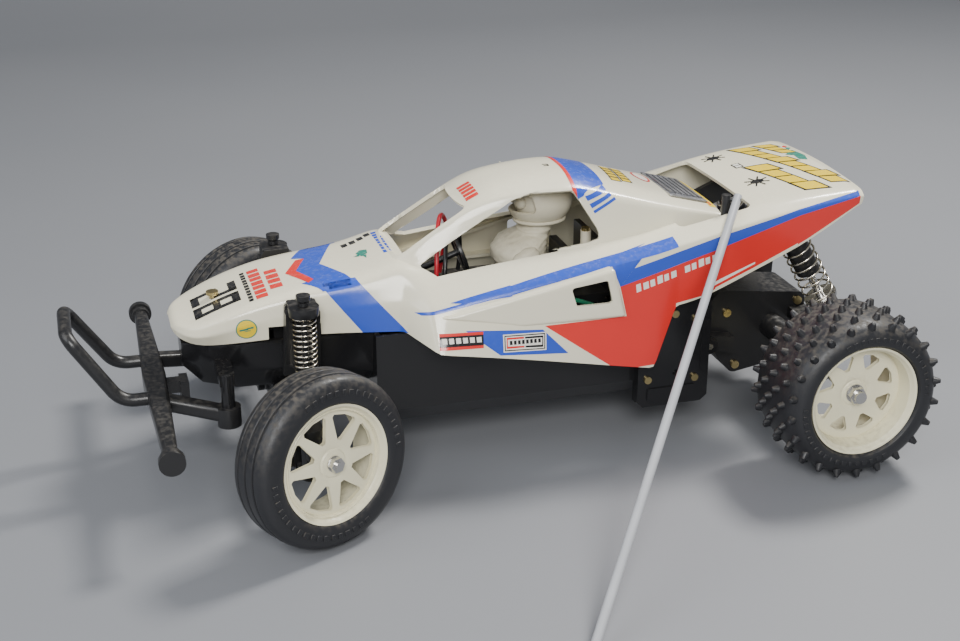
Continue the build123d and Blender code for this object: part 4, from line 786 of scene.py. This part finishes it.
def wheel_rim(width, face, dish, hub_out, window_in, window_out):
    """A rim in two forms: its barrel with both lips, and its face with the hub and eight windows."""
    half = width / 2
    barrel = turned_form([(27.2, half), (26.0, half - 0.5), (25.4, half - 1.8), (24.6, half - 2.6),
                          (24.0, face + 2.0), (23.4, face - 1.6), (23.6, -half + 2.2), (25.0, -half + 1.2),
                          (26.6, -half), (27.2, -half), (27.2, -half + 1.4), (26.0, -half + 1.8),
                          (26.0, half - 1.8), (27.2, half - 1.3)])
    disc = turned_form([(23.8, face), (22.6, face + 0.2), (12.0, face + dish), (8.2, face + dish + 0.2),
                        (6.6, hub_out - 0.6), (6.0, hub_out), (2.2, hub_out), (2.2, face - 4.0),
                        (6.0, face - 4.0), (6.6, face - 2.4), (12.0, face + dish - 2.0), (22.6, face - 1.8),
                        (23.8, face - 2.0)])
    for k in range(8):
        spin = 2 * pi * (k + 0.5) / 8
        a, b = window_in, window_out
        wide = b * (0.285 if width < 30 else 0.235)
        corners = [(a, -0.9), (b - 2.0, -wide), (b - 0.6, -wide + 0.5), (b + 0.3, 0), (b - 0.6, wide - 0.5),
                   (b - 2.0, wide), (a, 0.9)]
        outline = [(r * cos(spin) - t * sin(spin), r * sin(spin) + t * cos(spin)) for r, t in corners]
        open_up(disc, outline, "side", lambda p: hypot(p.x, p.z) > 0.008 and p.y > 0.0)
    return barrel, disc


wheel_places = {}
for side_sign, side in ((1, "left"), (-1, "right")):
    way = Matrix.Rotation(radians(24.9), 3, "Z") @ Vector((0, side_sign * cos(radians(5)), sin(radians(5))))
    wheel_places["front", side] = (Vector((0.128, side_sign * 0.083, 0.0391)) + way * 0.008, way)
    wheel_places["rear", side] = (Vector((-0.128, side_sign * 0.0925, 0.0424)), Vector((0, side_sign, 0)))
for (end, side), (middle, outward) in wheel_places.items():
    body = f"{end}_wheel_{side}"
    if end == "front":
        half_section = [(25.8, 9.5), (27.3, 11.2), (28.4, 12.1), (31.0, 12.5), (35.2, 11.9), (37.6, 10.4),
                        (38.7, 8.8), (39.2, 7.2), (39.3, 6.2), (38.2, 5.9), (38.2, 5.3), (39.5, 5.0),
                        (39.5, 0.7), (38.3, 0.35)]
        tyre = turned_form(half_section + [(r, -a) for r, a in reversed(half_section)], 128)
        parts = [tyre] + wall_bars(54, 32.6, 12.35, (2.4, 2.6, 0.7))
        rim_size = (23.0, 7.5, 0.8, 8.7, 10.5, 21.6)
    else:
        half_section = [(25.8, 16.5), (27.3, 18.6), (28.4, 20.4), (30.5, 21.0), (34.0, 20.4), (36.6, 18.2),
                        (38.2, 15.4), (39.0, 11.0), (39.4, 5.0)]
        tyre = turned_form(half_section + [(r, -a) for r, a in reversed(half_section)], 128)
        parts = [tyre] + wall_bars(54, 31.6, 20.85, (2.3, 2.4, 0.7))
        pin_rows = ((-17.6, 37.0, -32), (-11.5, 38.6, -10), (-5.6, 39.2, 0), (0, 39.3, 0), (5.6, 39.2, 0),
                    (11.5, 38.6, 10), (17.6, 37.0, 32))
        pins_in_row = 22
        for row, (along, radius, lean) in enumerate(pin_rows):
            for k in range(pins_in_row):
                tip_out = Matrix.Rotation(radians(-lean), 3, "X")
                round_tyre = Matrix.Rotation(2 * pi * (k + 0.5 * (row % 2)) / pins_in_row, 3, "Y")
                pin = bmesh.new()
                bmesh.ops.create_cone(pin, cap_ends=True, segments=9, radius1=0.0023, radius2=0.0010,
                                      depth=0.0038)
                bmesh.ops.translate(pin, verts=pin.verts, vec=(0, 0, 0.0012))
                bmesh.ops.rotate(pin, verts=pin.verts, cent=(0, 0, 0), matrix=tip_out)
                bmesh.ops.translate(pin, verts=pin.verts, vec=(0, along / 1000, radius / 1000))
                bmesh.ops.rotate(pin, verts=pin.verts, cent=(0, 0, 0), matrix=round_tyre)
                parts.append(pin)
        rim_size = (39.0, 9.0, 0.3, 9.2, 12.6, 19.8)
    tyre = join_forms(parts)
    put_on_axle(tyre, middle, outward)
    tyre_piece = piece_from(tyre, f"{end}_tyre_rubber_{side}", rubber, body, "tyre_rubber",
                            f"{end}_tyre_{side}")
    rim = join_forms(wheel_rim(*rim_size))
    put_on_axle(rim, middle, outward)
    rim_piece = piece_from(rim, f"{end}_rim_spokes_{side}", rim_cream, body, "rim_cream", f"{end}_rim_{side}")
    for made, sharpest in ((tyre_piece, 40), (rim_piece, 35)):
        soft = made.modifiers.new("soft_edge", "BEVEL")
        soft.width, soft.segments, soft.limit_method, soft.angle_limit = 0.0003, 2, "ANGLE", radians(sharpest)
        even = made.modifiers.new("even", "WEIGHTED_NORMAL")
        even.keep_sharp = True

# ------------------------------------------------------------------ springs
# Bright coil springs: close small coils round the front rods, open large ones round the rear dampers.
# Each keeps its upper end on its seat.
spring_steel = moulding_finish("bright_spring_wire", (0.72, 0.66, 0.55), 0.16, dust=0.06, metal=1.0, grain=1800)


def coil(radius, wire, length, turns, top, way):
    """A helix of round wire hanging from its top along a way, by a spin that also moves along its axis."""
    form = bmesh.new()
    bmesh.ops.create_circle(form, segments=10, radius=wire / 1000)
    bmesh.ops.rotate(form, verts=form.verts, cent=(0, 0, 0), matrix=Matrix.Rotation(pi / 2, 3, "X"))
    bmesh.ops.translate(form, verts=form.verts, vec=(radius / 1000, 0, wire / 1000))
    steps = int(turns * 28)
    rise = (length - 2 * wire) / 1000
    bmesh.ops.spin(form, geom=form.verts[:] + form.edges[:], cent=(0, 0, 0), axis=(0, 0, 1),
                   angle=2 * pi * turns, steps=steps, dvec=(0, 0, rise / steps))
    ends = [e for e in form.edges if e.is_boundary]
    bmesh.ops.holes_fill(form, edges=ends, sides=0)
    bmesh.ops.recalc_face_normals(form, faces=form.faces)
    turn = Vector((0, 0, 1)).rotation_difference(way).to_matrix()
    bmesh.ops.rotate(form, verts=form.verts, cent=(0, 0, 0), matrix=turn)
    bmesh.ops.translate(form, verts=form.verts, vec=top)
    return form


front_length, front_travel, rear_length, rear_travel = 30.4, 4.8, 42.4, 13.0
for sign, side in ((1, "left"), (-1, "right")):
    top = Vector((0.122, sign * 0.0432, 0.088))
    coil_form = coil(5.15, 0.45, front_length, 11.5, top, Vector((0, 0, -1)))
    spring = piece_from(coil_form, f"front_coil_{side}", spring_steel, "chassis", "spring_steel",
                        f"front_spring_{side}")
    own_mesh(spring)
    pin_top, pin_foot = Vector((-0.1185, sign * 0.037, 0.108)), Vector((-0.1465, sign * 0.037, 0.059))
    way = (pin_foot - pin_top).normalized()
    seat = pin_top + way * 0.0055
    coil_form = coil(7.4, 0.55, rear_length, 8.5, seat, way)
    spring = piece_from(coil_form, f"rear_coil_{side}", spring_steel, f"rear_damper_{side}", "spring_steel",
                        f"rear_spring_{side}")
    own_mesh(spring)
